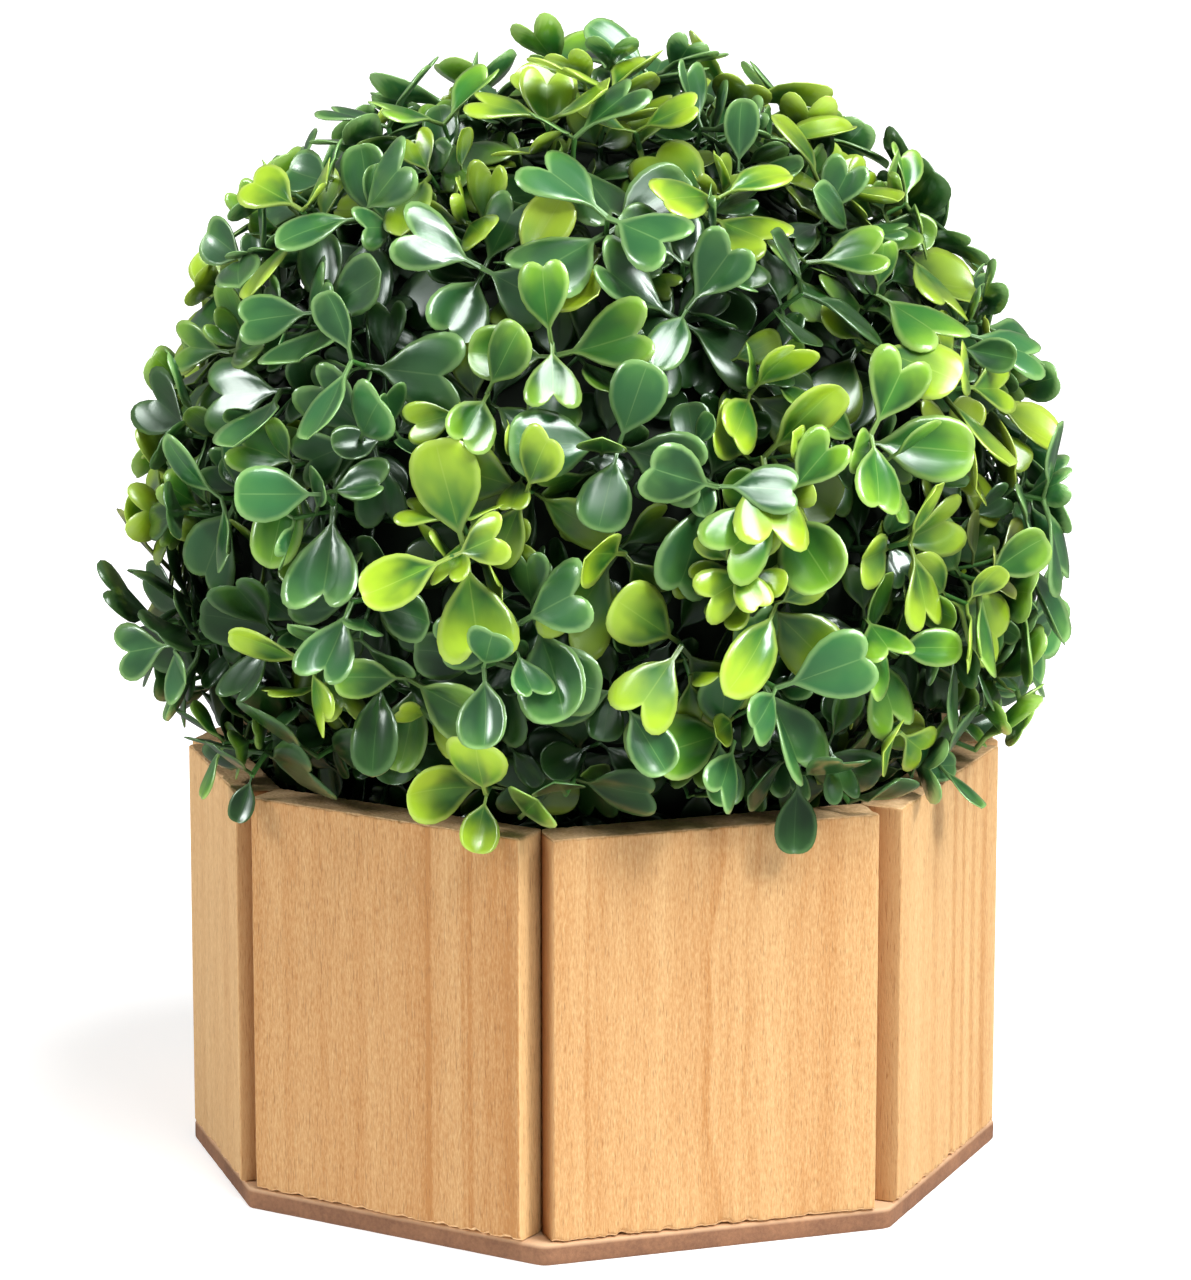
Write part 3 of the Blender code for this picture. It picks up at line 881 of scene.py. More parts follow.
# How fast the shares change with the turn to the overhead lamp, and how many of the sprigs
# under this height on a ball of radius 1 are dark whatever the shares say, as painted shade
# low on the ball.
SUNNY_CHANGE = 0.8
LOW_SPRIG, LOW_SHADE_SHARE = -0.15, 0.25
# Leaf pairs along a sprig from its tip down: their place along the twig, how far they open in
# degrees, and their size as a share of the leaf length.
PAIRS = ((0.98, 64, 0.92), (0.74, 78, 1.0), (0.42, 84, 0.80))
# Side twigs: their places along the sprig's stem, their length in millimetres, the angle that
# they turn off by in degrees, and their thickness and how often they have the sprig's kind.
SIDE_TWIG_PLACES = (0.30, 0.58)
SIDE_TWIG_LENGTH, SIDE_TWIG_ANGLE = (8, 13), (38, 60)
SIDE_TWIG_THICKNESS, SAME_KIND_SHARE = 0.62, 0.6
SIDE_PAIRS = ((0.95, 58, 0.62), (0.5, 76, 0.66))
INNER_PAIRS = ((0.98, 60, 0.62), (0.50, 78, 0.64))
# Inner sprigs are this much thinner and this often dark, partly the plant's own darker inner
# leaves and partly painted shade under the outer sprigs; those for the planter's mouth grow
# three times as thickly, under this height.
INNER_THICKNESS, INNER_DARK_SHARE = 0.8, 0.6
MOUTH_DENSITY, MOUTH_HEIGHT = 3, -0.35
# Now and then a sprig reaches further than the others.
LONG_SPRIG_SHARE, LONG_SPRIG_EXTRA = 0.1, 4 * MM
# Parts of a stem's and of a side twig's line, their bow in millimetres, and their thickness at
# the tip as a share of that at the foot.
STEM_PARTS, SIDE_PARTS = 7, 4
STEM_BOW, SIDE_BOW = 2.5, 1.2
STEM_TAPER, SIDE_TAPER = 0.6, 0.7
# How often a leaf or a stem is tried before it is left out, and the most that can grow.
LEAF_TRIES, TWIG_TRIES = 14, 8
MOST_GROWN = 12000
# Room kept free to the planter, from leaves to the core, and from side twigs' tips to the core.
MOUTH_CLEARANCE, CORE_CLEARANCE, TIP_CLEARANCE = 0.8 * MM, 0.3 * MM, 2 * MM
# Up to this height over the rim leaves stay inside it, and up to this they are checked at all.
RIM_ROOM, RIM_ZONE = 6 * MM, 8 * MM
# Low sprigs near these angles round the ball may hang out over the rim, so many millimetres
# below it; the others stay inside.
OVERHANGS = {
    -150: 5, -105: 5, -92: 3, -57: 12, -36: 6, 40: 6, 66: 3, 97: 9, 121: 4, 143: 5,
}
OVERHANG_WIDTH_DEG = 6
# How far out from the middle such leaves may reach, under which height on a ball of radius 1
# sprigs may hang, and from which drop on their end pair stands upright.
OVERHANG_REACH = 102.0 * MM
OVERHANG_HEIGHT = -0.1
UPRIGHT_DROP = 4.5 * MM
# Sprigs under this height bend up until they clear the planter.
BENDING_HEIGHT = -0.3

# A sprig's number and kind, how far from the ball's middle its leaves may reach, and how far
# below the rim they may hang.
Sprig = namedtuple("Sprig", "number kind limit drop")
Leaf = namedtuple("Leaf", "node turn length shape kind")


def in_planter(points, clearance, drop):
    """Which points lie in a board, the filling or the stem, or closer than `clearance`, or hang
    lower than `drop` over the rim, or above it where there is no drop."""
    x, y, z = points.T
    low = z < FILLING_TOP + clearance
    at_stem = (z < CORE_CUT) & (np.hypot(x, y) < STEM_RADIUS + clearance)
    reach = np.outer(x, np.cos(FACINGS)) + np.outer(y, np.sin(FACINGS))
    outside = (reach - OUTER).max(1)
    past_inner = (reach - INNER).max(1)
    in_wall = (z < RIM_HEIGHT + clearance) & (outside < clearance) & (past_inner > -clearance)
    beyond = past_inner > -clearance
    if drop:
        beyond = (np.hypot(x, y) > OVERHANG_REACH) | (z < RIM_HEIGHT - drop)
    return low | at_stem | in_wall | ((z < RIM_HEIGHT + RIM_ROOM) & beyond)


def overhang(direction):
    """How far below the rim a sprig in this direction may hang over it; 0 keeps it inside."""
    angle = math.degrees(math.atan2(direction.y, direction.x))
    for middle, drop in OVERHANGS.items():
        off = abs((angle - middle + 180) % 360 - 180)
        if off < OVERHANG_WIDTH_DEG and direction.z < OVERHANG_HEIGHT:
            return drop * MM
    return 0.0


def turned(vector, axis, angle):
    """The vector turned round an axis."""
    return Matrix.Rotation(angle, 3, axis) @ vector


def any_side(rng, axis):
    """A random direction square to `axis`."""
    return turned(across_of(axis), axis, rng.uniform(0, 2 * math.pi))


def across_of(axis):
    """A unit vector square to `axis`, always the same one."""
    other = Vector((0, 0, 1)) if abs(axis.z) < 0.8 else Vector((1, 0, 0))
    return axis.cross(other).normalized()


def ball_directions(count, lowest, rng):
    """Directions spread evenly over the ball, from its top down to the angle `lowest`."""
    golden = math.pi * (3 - math.sqrt(5))
    for index in range(count):
        height = 1 - (1 - math.cos(lowest)) * (index + 0.5) / count
        turn = index * golden + rng.uniform(-0.12, 0.12)
        flat = math.sqrt(1 - height * height)
        yield Vector((flat * math.cos(turn), flat * math.sin(turn), height))


# Shallow dents and bulges of the ball: a direction, how wide it is, and how many millimetres it
# goes out.
SWELLS = (
    ((-1.0, -0.1, 0.24), 0.36, -5.0), ((-0.5, -0.2, 0.9), 0.35, -1.5),
    ((0.5, -0.2, 0.95), 0.28, -6.5), ((0.0, 0.0, 1.0), 0.16, 4.0),
    ((-1.0, -0.1, -0.16), 0.14, 2.0), ((0.1, 0.9, 0.5), 0.4, -2.0),
    ((0.9, 0.4, 0.2), 0.3, -3.0),
)


def swell(direction):
    """How far the ball stands out in a direction, beyond its mean reach."""
    total = 0.0
    for way, wide, out in SWELLS:
        off = (Vector(way).normalized() - direction).length
        total += out * MM * math.exp(-((off / wide) ** 2))
    return total


def bent_line(foot, tip, bow, count):
    """Points from foot to tip along a shallow bow."""
    middle = (foot + tip) / 2 + bow
    line = []
    for number in range(count + 1):
        t = number / count
        line.append(foot * (1 - t) ** 2 + middle * (2 * t * (1 - t)) + tip * t * t)
    return line


class Growth:
    """Twigs and leaves grown so far, with a search structure that keeps them from crossing."""

    def __init__(self, settings):
        self.settings = settings
        self.rng = random.Random(settings.seed)
        self.twigs = []
        self.leaves = []
        self.proxies = {name: leaf_proxy(name) for name in LEAF_SHAPES}
        self.boxes = np.zeros((MOST_GROWN, 2, 3))
        self.grown = []

    def keeps(self, corners, faces, number, as_twig=False):
        """Keeps faces of sprig `number`, unless they cross what has grown; its twigs don't
        count."""
        low, high = corners.min(0), corners.max(0)
        count = len(self.grown)
        boxes = self.boxes[:count]
        near = np.flatnonzero(((boxes[:, 0] <= high) & (boxes[:, 1] >= low)).all(1))
        tree = BVHTree.FromPolygons(corners.tolist(), faces)
        for other in near:
            twig_of, other_tree = self.grown[other]
            if twig_of != number and tree.overlap(other_tree):
                return False
        self.boxes[count] = low, high
        self.grown.append((number if as_twig else None, tree))
        return True

    def add_twig(self, line, radius, taper, number, drop):
        """Keeps a twig, unless it stands in the planter or crosses a leaf."""
        points = np.array(line)
        if in_planter(points, MOUTH_CLEARANCE + radius, drop).any():
            return False
        way = np.array(across_of((line[-1] - line[0]).normalized())) * radius * 0.8
        corners = np.concatenate([points - way, points + way])
        count = len(points)
        faces = [(p, p + 1, p + 1 + count, p + count) for p in range(count - 1)]
        if not self.keeps(corners, faces, number, as_twig=True):
            return False
        self.twigs.append((line, radius, taper))
        return True

    def add_leaf(self, node, turn, length, shape, sprig):
        """Keeps a leaf, unless it leaves the ball, enters the core or the planter, or crosses."""
        unit_corners, faces = self.proxies[shape]
        corners = unit_corners @ np.array(turn).T * length + np.array(node)
        radii = np.linalg.norm(corners - np.array(BALL_CENTRE), axis=1)
        if radii.min() < CORE_RADIUS + CORE_CLEARANCE or radii.max() > sprig.limit:
            return False
        low = corners[:, 2].min() < RIM_HEIGHT + RIM_ZONE
        if low and in_planter(corners, MOUTH_CLEARANCE, sprig.drop).any():
            return False
        if not self.keeps(corners, faces, sprig.number):
            return False
        self.leaves.append(Leaf(node, turn.to_euler(), length, shape, sprig.kind))
        return True


def grow_leaf(growth, node, heading, side_way, opening, length, sprig):
    """Adds one leaf at a node, turned and shortened a little until it fits."""
    rng = growth.rng
    for attempt in range(LEAF_TRIES):
        effort = attempt / LEAF_TRIES
        swing = math.radians(10 + 30 * effort)
        outward = turned(side_way, heading, rng.uniform(-swing, swing))
        hinge = heading.cross(outward).normalized()
        angle = math.radians(opening + rng.uniform(-15, 15) * (1 + effort))
        along = turned(heading, hinge, angle)
        roll = math.radians(rng.uniform(-20, 20))
        face = turned(along.cross(hinge).normalized(), along, roll)
        side = along.cross(face).normalized()
        shares = [shape.share for shape in LEAF_SHAPES.values()]
        shape = rng.choices(list(LEAF_SHAPES), shares)[0]
        grown = length * rng.uniform(0.74, 1.08) * (1 - 0.35 * effort)
        turn = Matrix((side, along, face)).transposed()
        if growth.add_leaf(node, turn, grown, shape, sprig):
            return


def grow_pairs(growth, line, pairs, sprig):
    """Crossed pairs of leaves at the nodes of a twig. Over the rim the end pair stands upright,
    so that one leaf of it hangs."""
    heading = (line[-1] - line[0]).normalized()
    first_side = any_side(growth.rng, heading)
    if sprig.drop > UPRIGHT_DROP:
        level = heading.cross(Vector((0, 0, 1))).normalized()
        first_side = heading.cross(level)
    for pair, (place, opening, share) in enumerate(pairs):
        position = place * (len(line) - 1)
        index = min(int(position), len(line) - 2)
        node = line[index].lerp(line[index + 1], position - index)
        side = turned(first_side, heading, math.pi / 2 * pair)
        length = growth.settings.leaf_length * share
        for way in (side, -side):
            grow_leaf(growth, node, heading, way, opening, length, sprig)


def pick_kind(rng, direction):
    """A kind of sprig, with more limes where the ball is turned to the overhead lamp as
    painted light, and more dark ones low down and away from it as painted shade."""
    # Painted shade: low sprigs are often made dark.
    if direction.z < LOW_SPRIG and rng.random() < LOW_SHADE_SHARE:
        return "dark"
    sunny = min(1.0, max(0.0, 0.5 + SUNNY_CHANGE * direction.dot(SUNNY_WAY)))
    shares = [SHADY_SHARES[k] + (SUNNY_SHARES[k] - SHADY_SHARES[k]) * sunny for k in LEAF_KINDS]
    return rng.choices(list(LEAF_KINDS), shares)[0]


def grow_sprig(growth, direction, reach, thickness, number):
    """A sprig's stem out of the core, turned until it clears the planter and the leaves; gives
    its line, or None. Sprigs under the ball bend up and out over the rim."""
    rng, settings = growth.rng, growth.settings
    foot = BALL_CENTRE + direction * (CORE_RADIUS - SPRIG_SINK)
    for attempt in range(TWIG_TRIES):
        heading = turned(direction, any_side(rng, direction), rng.uniform(0.0, settings.lean))
        if direction.z < BENDING_HEIGHT:
            heading.z += attempt / TWIG_TRIES
            heading.normalize()
        tip = foot + heading * (reach - CORE_RADIUS + SPRIG_SINK)
        line = bent_line(foot, tip, any_side(rng, heading) * STEM_BOW * MM, STEM_PARTS)
        radius = settings.twig_radius * thickness
        if growth.add_twig(line, radius, STEM_TAPER, number, overhang(direction)):
            return line
    return None


def grow_side_twigs(growth, line, direction, sprig):
    """Finer twigs off a sprig's stem, each with its own leaf pairs."""
    rng, settings = growth.rng, growth.settings
    heading = (line[-1] - line[0]).normalized()
    for place in SIDE_TWIG_PLACES:
        start = line[round(place * STEM_PARTS)]
        axis = any_side(rng, heading)
        side_heading = turned(heading, axis, math.radians(rng.uniform(*SIDE_TWIG_ANGLE)))
        end = start + side_heading * rng.uniform(*SIDE_TWIG_LENGTH) * MM
        twig = bent_line(start, end, heading * SIDE_BOW * MM, SIDE_PARTS)
        if (end - BALL_CENTRE).length < CORE_RADIUS + TIP_CLEARANCE:
            continue
        radius = settings.twig_radius * SIDE_TWIG_THICKNESS
        if growth.add_twig(twig, radius, SIDE_TAPER, sprig.number, sprig.drop):
            same = rng.random() < SAME_KIND_SHARE
            kind = sprig.kind if same else pick_kind(rng, direction)
            grow_pairs(growth, twig, SIDE_PAIRS, sprig._replace(kind=kind))


def grow_foliage(settings):
    """Grows every sprig: a stem out of the core, its crossed leaf pairs, and finer side twigs.
    Short dark sprigs, their darkness partly painted shade, then fill in under them, and thickly
    in the planter's mouth."""
    growth = Growth(settings)
    rng, number = growth.rng, 0
    for direction in ball_directions(settings.sprigs, settings.lowest, rng):
        number += 1
        spread = rng.uniform(-1, 1) * settings.tip_spread
        spread += LONG_SPRIG_EXTRA if rng.random() < LONG_SPRIG_SHARE else 0.0
        out = swell(direction)
        line = grow_sprig(growth, direction, settings.tip_radius + out + spread, 1.0, number)
        if line is not None:
            kind = pick_kind(rng, direction)
            sprig = Sprig(number, kind, BALL_REACH + out, overhang(direction))
            grow_pairs(growth, line, PAIRS, sprig)
            grow_side_twigs(growth, line, direction, sprig)
    inner = list(ball_directions(settings.inner_sprigs, settings.lowest, rng))
    mouth = ball_directions(MOUTH_DENSITY * settings.inner_sprigs, settings.lowest, rng)
    inner += [direction for direction in mouth if direction.z < MOUTH_HEIGHT]
    for direction in inner:
        number += 1
        reach = settings.inner_radius + rng.uniform(-1, 1) * settings.tip_spread
        line = grow_sprig(growth, direction, reach, INNER_THICKNESS, number)
        if line is not None:
            # Many inner sprigs are dark, partly as painted shade.
            kind = "dark" if rng.random() < INNER_DARK_SHARE else pick_kind(rng, direction)
            grow_pairs(growth, line, INNER_PAIRS, Sprig(number, kind, BALL_REACH, 0.0))
    return growth


# Leaves in each row of a piece's bake map.
LEAVES_ACROSS_MAP = 13
# Colours of twigs at the core and at the outside, and of the core's darker and lighter blotches.
TWIG_FOOT_GREEN, TWIG_TIP_GREEN = linear("#17301a"), linear("#4a8038")
CORE_DARK, CORE_LIGHT = linear("#0a140b"), linear("#142413")
# Swelling of twigs at their nodes, the points where they have one, and the core's ripples.
NODE_SWELLING, NODE_POINTS, CORE_RIPPLE = 1.25, (3, 5), 0.35 * MM


def node_tree(name, inputs):
    """A geometry node tree with these inputs, by name and kind, and one geometry output. Gives
    the tree and what its inputs hand in."""
    tree = bpy.data.node_groups.new(name, "GeometryNodeTree")
    for label, kind in inputs.items():
        tree.interface.new_socket(label, in_out="INPUT", socket_type="NodeSocket" + kind)
    tree.interface.new_socket("Geometry", in_out="OUTPUT", socket_type="NodeSocketGeometry")
    return tree, add(tree, "NodeGroupInput").outputs


def leaf_tree():
    """Node tree that sets a leaf on each point: shape, turn and length come from the points, a
    random tone from the seed, and each leaf gets its own tile of the bake map."""
    tree, given = node_tree("Leaves on points", {
        "Geometry": "Geometry", "Leaf shapes": "Collection", "Leaf material": "Material",
        "Size factor": "Float", "Tone seed": "Int", "Tiles across": "Int",
    })
    shape, turn, length, bake, tile = (
        add(tree, "GeometryNodeInputNamedAttribute", {"Name": name}, data_type=kind)
        for name, kind in (
            ("shape", "INT"), ("turn", "FLOAT_VECTOR"), ("length", "FLOAT"),
            ("OFBake", "FLOAT_VECTOR"), ("tile", "FLOAT_VECTOR"),
        )
    )
    shapes = add(
        tree, "GeometryNodeCollectionInfo",
        {"Collection": given["Leaf shapes"], "Separate Children": True, "Reset Children": True},
    )
    scale = add(
        tree, "ShaderNodeMath", {0: length, 1: given["Size factor"]}, operation="MULTIPLY",
    )
    turning = add(tree, "FunctionNodeEulerToRotation", {0: turn})
    placed = add(
        tree, "GeometryNodeInstanceOnPoints",
        {"Points": given["Geometry"], "Instance": shapes, "Pick Instance": True,
         "Instance Index": shape, "Rotation": turning, "Scale": scale},
    )
    tone = add(
        tree, "FunctionNodeRandomValue", {"Seed": given["Tone seed"]}, data_type="FLOAT",
    )
    toned = add(
        tree, "GeometryNodeStoreNamedAttribute",
        {"Geometry": placed, "Name": "tone", "Value": tone.outputs[1]},
        data_type="FLOAT", domain="INSTANCE",
    )
    real = add(tree, "GeometryNodeRealizeInstances", {0: toned})
    shifted = add(tree, "ShaderNodeVectorMath", {0: bake, 1: tile}, operation="ADD")
    shrunk = add(
        tree, "ShaderNodeVectorMath", {0: shifted, 1: given["Tiles across"]},
        operation="DIVIDE",
    )
    mapped = add(
        tree, "GeometryNodeStoreNamedAttribute",
        {"Geometry": real, "Name": "OFBake", "Value": shrunk},
        data_type="FLOAT2", domain="CORNER",
    )
    painted = add(
        tree, "GeometryNodeSetMaterial",
        {"Geometry": mapped, "Material": given["Leaf material"]},
    )
    add(tree, "NodeGroupOutput", {0: painted})
    return tree


def twig_tree():
    """Node tree that runs a tube along each line of points, as thick as the points say."""
    tree, given = node_tree("Twigs on lines", {
        "Geometry": "Geometry", "Sides": "Int", "Thickness": "Float",
        "Twig material": "Material",
    })
    radius = add(tree, "GeometryNodeInputNamedAttribute", {"Name": "thick"}, data_type="FLOAT")
    line = add(tree, "GeometryNodeMeshToCurve", {"Mesh": given["Geometry"]})
    sized = add(
        tree, "ShaderNodeMath", {0: radius, 1: given["Thickness"]}, operation="MULTIPLY",
    )
    thick = add(tree, "GeometryNodeSetCurveRadius", {"Curve": line, "Radius": sized})
    ring = add(
        tree, "GeometryNodeCurvePrimitiveCircle", {"Resolution": given["Sides"], "Radius": 1.0},
    )
    tube = add(
        tree, "GeometryNodeCurveToMesh",
        {"Curve": thick, "Profile Curve": ring, "Fill Caps": True, "Scale": sized},
    )
    smooth = add(tree, "GeometryNodeSetShadeSmooth", {"Geometry": tube})
    real = add(tree, "GeometryNodeRealizeInstances", {0: smooth})
    painted = add(
        tree, "GeometryNodeSetMaterial", {"Geometry": real, "Material": given["Twig material"]},
    )
    add(tree, "NodeGroupOutput", {0: painted})
    return tree


def made_by_nodes(name, mesh, tree, values):
    """Runs a node tree on `mesh` and returns a plain mesh object of the result."""
    source = bpy.data.objects.new(name, mesh)
    bpy.context.scene.collection.objects.link(source)
    modifier = source.modifiers.new(tree.name, "NODES")
    modifier.node_group = tree
    for item in tree.interface.items_tree:
        if item.in_out == "INPUT" and item.name in values:
            modifier[item.identifier] = values[item.name]
    graph = bpy.context.evaluated_depsgraph_get()
    result = bpy.data.meshes.new_from_object(source.evaluated_get(graph))
    source.modifiers.clear()
    source.data = result
    result.name = name
    return source


# Waxy gloss of moulded polyethylene, with a greenish sheen.
LEAF_GLOSS = {
    "Roughness": 0.32, "IOR": 1.56, "Specular_Tint": (0.7, 1.0, 0.84, 1.0),
    "Coat_Weight": 1.0, "Coat_Roughness": 0.24, "Coat_IOR": 1.6,
}
# Painted shade: leaves are this dark green near the core, and between these heights over it
# their own colours take over.
CORE_SHADE_GREEN, DEEP_LEAVES, OUTER_LEAVES = linear("#0f2c08"), 6 * MM, 24 * MM


def leaf_material(kind):
    """Injection-moulded polyethylene leaf: a waxy gloss over a tinted blade, with a paler line
    round the edge where the moulding is thin. Leaves near the core are painted a darker green
    as shade."""
    blade_code, rib_code, tip_code, rim_code, tip_from, tip_to, tip_strength = LEAF_KINDS[kind]
    material, tree, shader = new_material("leaf_polyethylene_" + kind, **LEAF_GLOSS)
    along_leaf = add(
        tree, "ShaderNodeSeparateXYZ", {0: add(tree, "ShaderNodeUVMap", uv_map="leaf")},
    ).outputs
    tone, edge = (
        add(tree, "ShaderNodeAttribute", attribute_name=name).outputs["Fac"]
        for name in ("tone", "rim")
    )
    off_middle = add(tree, "ShaderNodeMath", {0: along_leaf[0], 1: 0.5}, operation="SUBTRACT")
    across = add(tree, "ShaderNodeMath", {0: off_middle}, operation="ABSOLUTE")
    # Each leaf has its own patches of colour, because its tone shifts the noise.
    place = add(tree, "ShaderNodeCombineXYZ", {0: along_leaf[0], 1: along_leaf[1], 2: tone})
    own = add(
        tree, "ShaderNodeVectorMath", {0: place, 1: (1.0, 1.0, 40.0)}, operation="MULTIPLY",
    )
    patches = add(tree, "ShaderNodeTexNoise", {"Vector": own, "Scale": 2.2, "Detail": 2.0})
    lightness = add(tree, "ShaderNodeMapRange", {"Value": tone, "To Min": 0.5, "To Max": 1.35})
    blade = add(
        tree, "ShaderNodeVectorMath", {0: linear(blade_code)[:3], "Scale": lightness},
        operation="SCALE",
    )
    rib_place = add(
        tree, "ShaderNodeMath", {0: patches, 1: 0.45, 2: across}, operation="MULTIPLY_ADD",
    )
    tip_place = along_leaf[1]
    for layer, weight in ((patches, 0.6), (across, 0.3)):
        tip_place = add(
            tree, "ShaderNodeMath", {0: layer, 1: weight, 2: tip_place},
            operation="MULTIPLY_ADD",
        )
    # Each layer's share: where it starts and ends, what it is there, and how softly it changes.
    rib_share, tip_share, crease, rim = (
        add(
            tree, "ShaderNodeMapRange",
            {"Value": value, "From Min": start, "From Max": end, "To Min": first, "To Max": last},
            interpolation_type=change,
        )
        for value, start, end, first, last, change in (
            (rib_place, 0.12, 0.46, 0.9, 0.0, "SMOOTHSTEP"),
            (tip_place, tip_from + 0.30, tip_to + 0.40, 0.0, tip_strength, "SMOOTHSTEP"),
            (across, 0.004, 0.016, 0.25, 0.0, "LINEAR"),
            (edge, 0.004, 0.075, 0.6, 0.0, "SMOOTHERSTEP"),
        )
    )
    lines = add(tree, "ShaderNodeMath", {0: crease, 1: rim}, operation="MAXIMUM")
    # Painted shade: darker green towards the core.
    deep = outwardness(tree, CORE_RADIUS + OUTER_LEAVES, CORE_RADIUS + DEEP_LEAVES)
    coats = (
        (rib_share, linear(rib_code)), (tip_share, linear(tip_code)),
        (lines, linear(rim_code)), (deep, CORE_SHADE_GREEN),
    )
    combed = add(
        tree, "ShaderNodeVectorMath", {0: own, 1: (26.0, 4.0, 1.0)}, operation="MULTIPLY",
    )
    streaks = add(tree, "ShaderNodeTexNoise", {"Vector": combed, "Scale": 1.0, "Detail": 2.0})
    paint(tree, shader, blade, coats, (streaks, 0.25, 0.12))
    return material


def make_leaves(growth):
    """Joins the leaves, each kind apart, in pieces that each fill one bake map."""
    shapes = bpy.data.collections.new("Leaf shapes")
    for name in SHAPE_NAMES:
        make_leaf_shape(name, shapes)
    tree = leaf_tree()
    per_piece = LEAVES_ACROSS_MAP ** 2
    for kind in LEAF_KINDS:
        leaves = [leaf for leaf in growth.leaves if leaf.kind == kind]
        pieces = max(1, math.ceil(len(leaves) / per_piece))
        material = leaf_material(kind)
        for number in range(pieces):
            share = leaves[number::pieces]
            name = "leaves_%s_%d" % (kind, number + 1)
            mesh = bpy.data.meshes.new(name + "_points")
            mesh.from_pydata([leaf.node for leaf in share], [], [])
            places = [divmod(place, LEAVES_ACROSS_MAP) for place in range(len(share))]
            tiles = [(column, row, 0) for row, column in places]
            for attribute, data_type, values in (
                ("turn", "FLOAT_VECTOR", [tuple(leaf.turn) for leaf in share]),
                ("length", "FLOAT", [leaf.length for leaf in share]),
                ("shape", "INT", [SHAPE_NAMES.index(leaf.shape) for leaf in share]),
                ("tile", "FLOAT_VECTOR", np.array(tiles, float)),
            ):
                set_attribute(mesh, attribute, data_type, values)
            given = {
                "Leaf shapes": shapes, "Leaf material": material, "Size factor": 1.0,
                "Tone seed": number, "Tiles across": LEAVES_ACROSS_MAP,
            }
            piece = made_by_nodes(name, mesh, tree, given)
            finish_piece(piece, "leaf_plastic", "foliage_ball")
    for obj in list(shapes.objects):
        bpy.data.objects.remove(obj)
    bpy.data.collections.remove(shapes)


def make_twigs(growth):
    """Joins the sprigs' stems and side twigs, thicker at their nodes."""
    points, edges, thick = [], [], []
    for line, radius, taper in growth.twigs:
        for index, point in enumerate(line):
            share = index / (len(line) - 1)
            at_node = index in NODE_POINTS or index == len(line) - 1
            if index:
                edges.append((len(points) - 1, len(points)))
            points.append(point)
            thick.append(radius * (1 - (1 - taper) * share) * (NODE_SWELLING if at_node else 1.0))
    mesh = bpy.data.meshes.new("twig_lines")
    mesh.from_pydata(points, edges, [])
    set_attribute(mesh, "thick", "FLOAT", thick)
    material, tree, shader = new_material("twig_polyethylene", Roughness=0.4)
    paler = outwardness(tree, CORE_RADIUS, BALL_REACH - 8 * MM)
    paint(tree, shader, TWIG_FOOT_GREEN, [(paler, TWIG_TIP_GREEN)])
    given = {"Sides": 6, "Thickness": 1.0, "Twig material": material}
    piece = made_by_nodes("twigs", mesh, twig_tree(), given)
    finish_piece(piece, "leaf_plastic", "foliage_ball")


def make_core():
    """Dark moulded ball that the sprigs are pushed into, cut flat over the stem."""
    rings, sides = 40, 72
    lowest = math.acos((CORE_CUT - BALL_CENTRE.z) / CORE_RADIUS)
    points = [(0.0, 0.0, BALL_CENTRE.z + CORE_RADIUS)]
    for ring in range(1, rings + 1):
        angle = lowest * ring / rings
        for side in range(sides):
            turn = 2 * math.pi * side / sides
            ripple = CORE_RIPPLE * (math.sin(9 * turn) * math.sin(11 * angle) - 1)
            radius = CORE_RADIUS + ripple * (ring < rings)
            flat = radius * math.sin(angle)
            height = BALL_CENTRE.z + radius * math.cos(angle)
            points.append((flat * math.cos(turn), flat * math.sin(turn), height))
    faces = [(0, 1 + side, 1 + (side + 1) % sides) for side in range(sides)]
    # The rings go down from the top, so their faces are turned round.
    faces += [(a, d, c, b) for a, b, c, d in ring_faces(rings, sides, 1)]
    last = 1 + (rings - 1) * sides
    faces.append(tuple(last + side for side in reversed(range(sides))))
    material, tree, shader = new_material("core_moulded_polyethylene", Roughness=0.85)
    place = add(tree, "ShaderNodeTexCoord").outputs["Object"]
    blotches = add(
        tree, "ShaderNodeTexNoise", {"Vector": place, "Scale": 1 / (7 * MM), "Detail": 2.0},
    )
    paint(tree, shader, CORE_DARK, [(blotches, CORE_LIGHT)])
    core = mesh_object("foliage_core", points, faces, [material], 60.0)
    finish_piece(core, "leaf_plastic", "foliage_ball")


# Stage.


# Square studio lights: where each stands, its width and its power.
LAMPS = {
    "key": ((1.0, -0.75, 1.05), 0.3, 12.8),
    "front": ((0.25, -1.0, 1.3), 0.25, 4.0),
    "fill": ((-1.3, -0.25, 0.8), 0.4, 9.0),
}
# The light from overhead: the way to it, how wide it looks and its strength.
OVERHEAD_WAY, OVERHEAD_ANGLE, OVERHEAD_POWER = (0.45, -0.35, 1.0), math.radians(34), 3.2
# Strength of the white surroundings and of the floor's own glow, and half the floor's width.
WORLD_POWER, FLOOR_GLOW, FLOOR_REACH = 0.18, 0.6, 30.0
# The camera's sensor in millimetres, and how far to the right of the middle it stands.
SENSOR_WIDTH, CAMERA_SIDE = 36.0, 0.3 * MM


def light(name, kind, place, aim, power):
    """A studio light that points from `place` at `aim`."""
    lamp = bpy.data.lights.new(name, kind)
    lamp.energy = power
    obj = bpy.data.objects.new(name, lamp)
    obj.location = place
    obj.rotation_euler = (Vector(place) - Vector(aim)).to_track_quat("Z", "Y").to_euler()
    bpy.context.scene.collection.objects.link(obj)
    return lamp


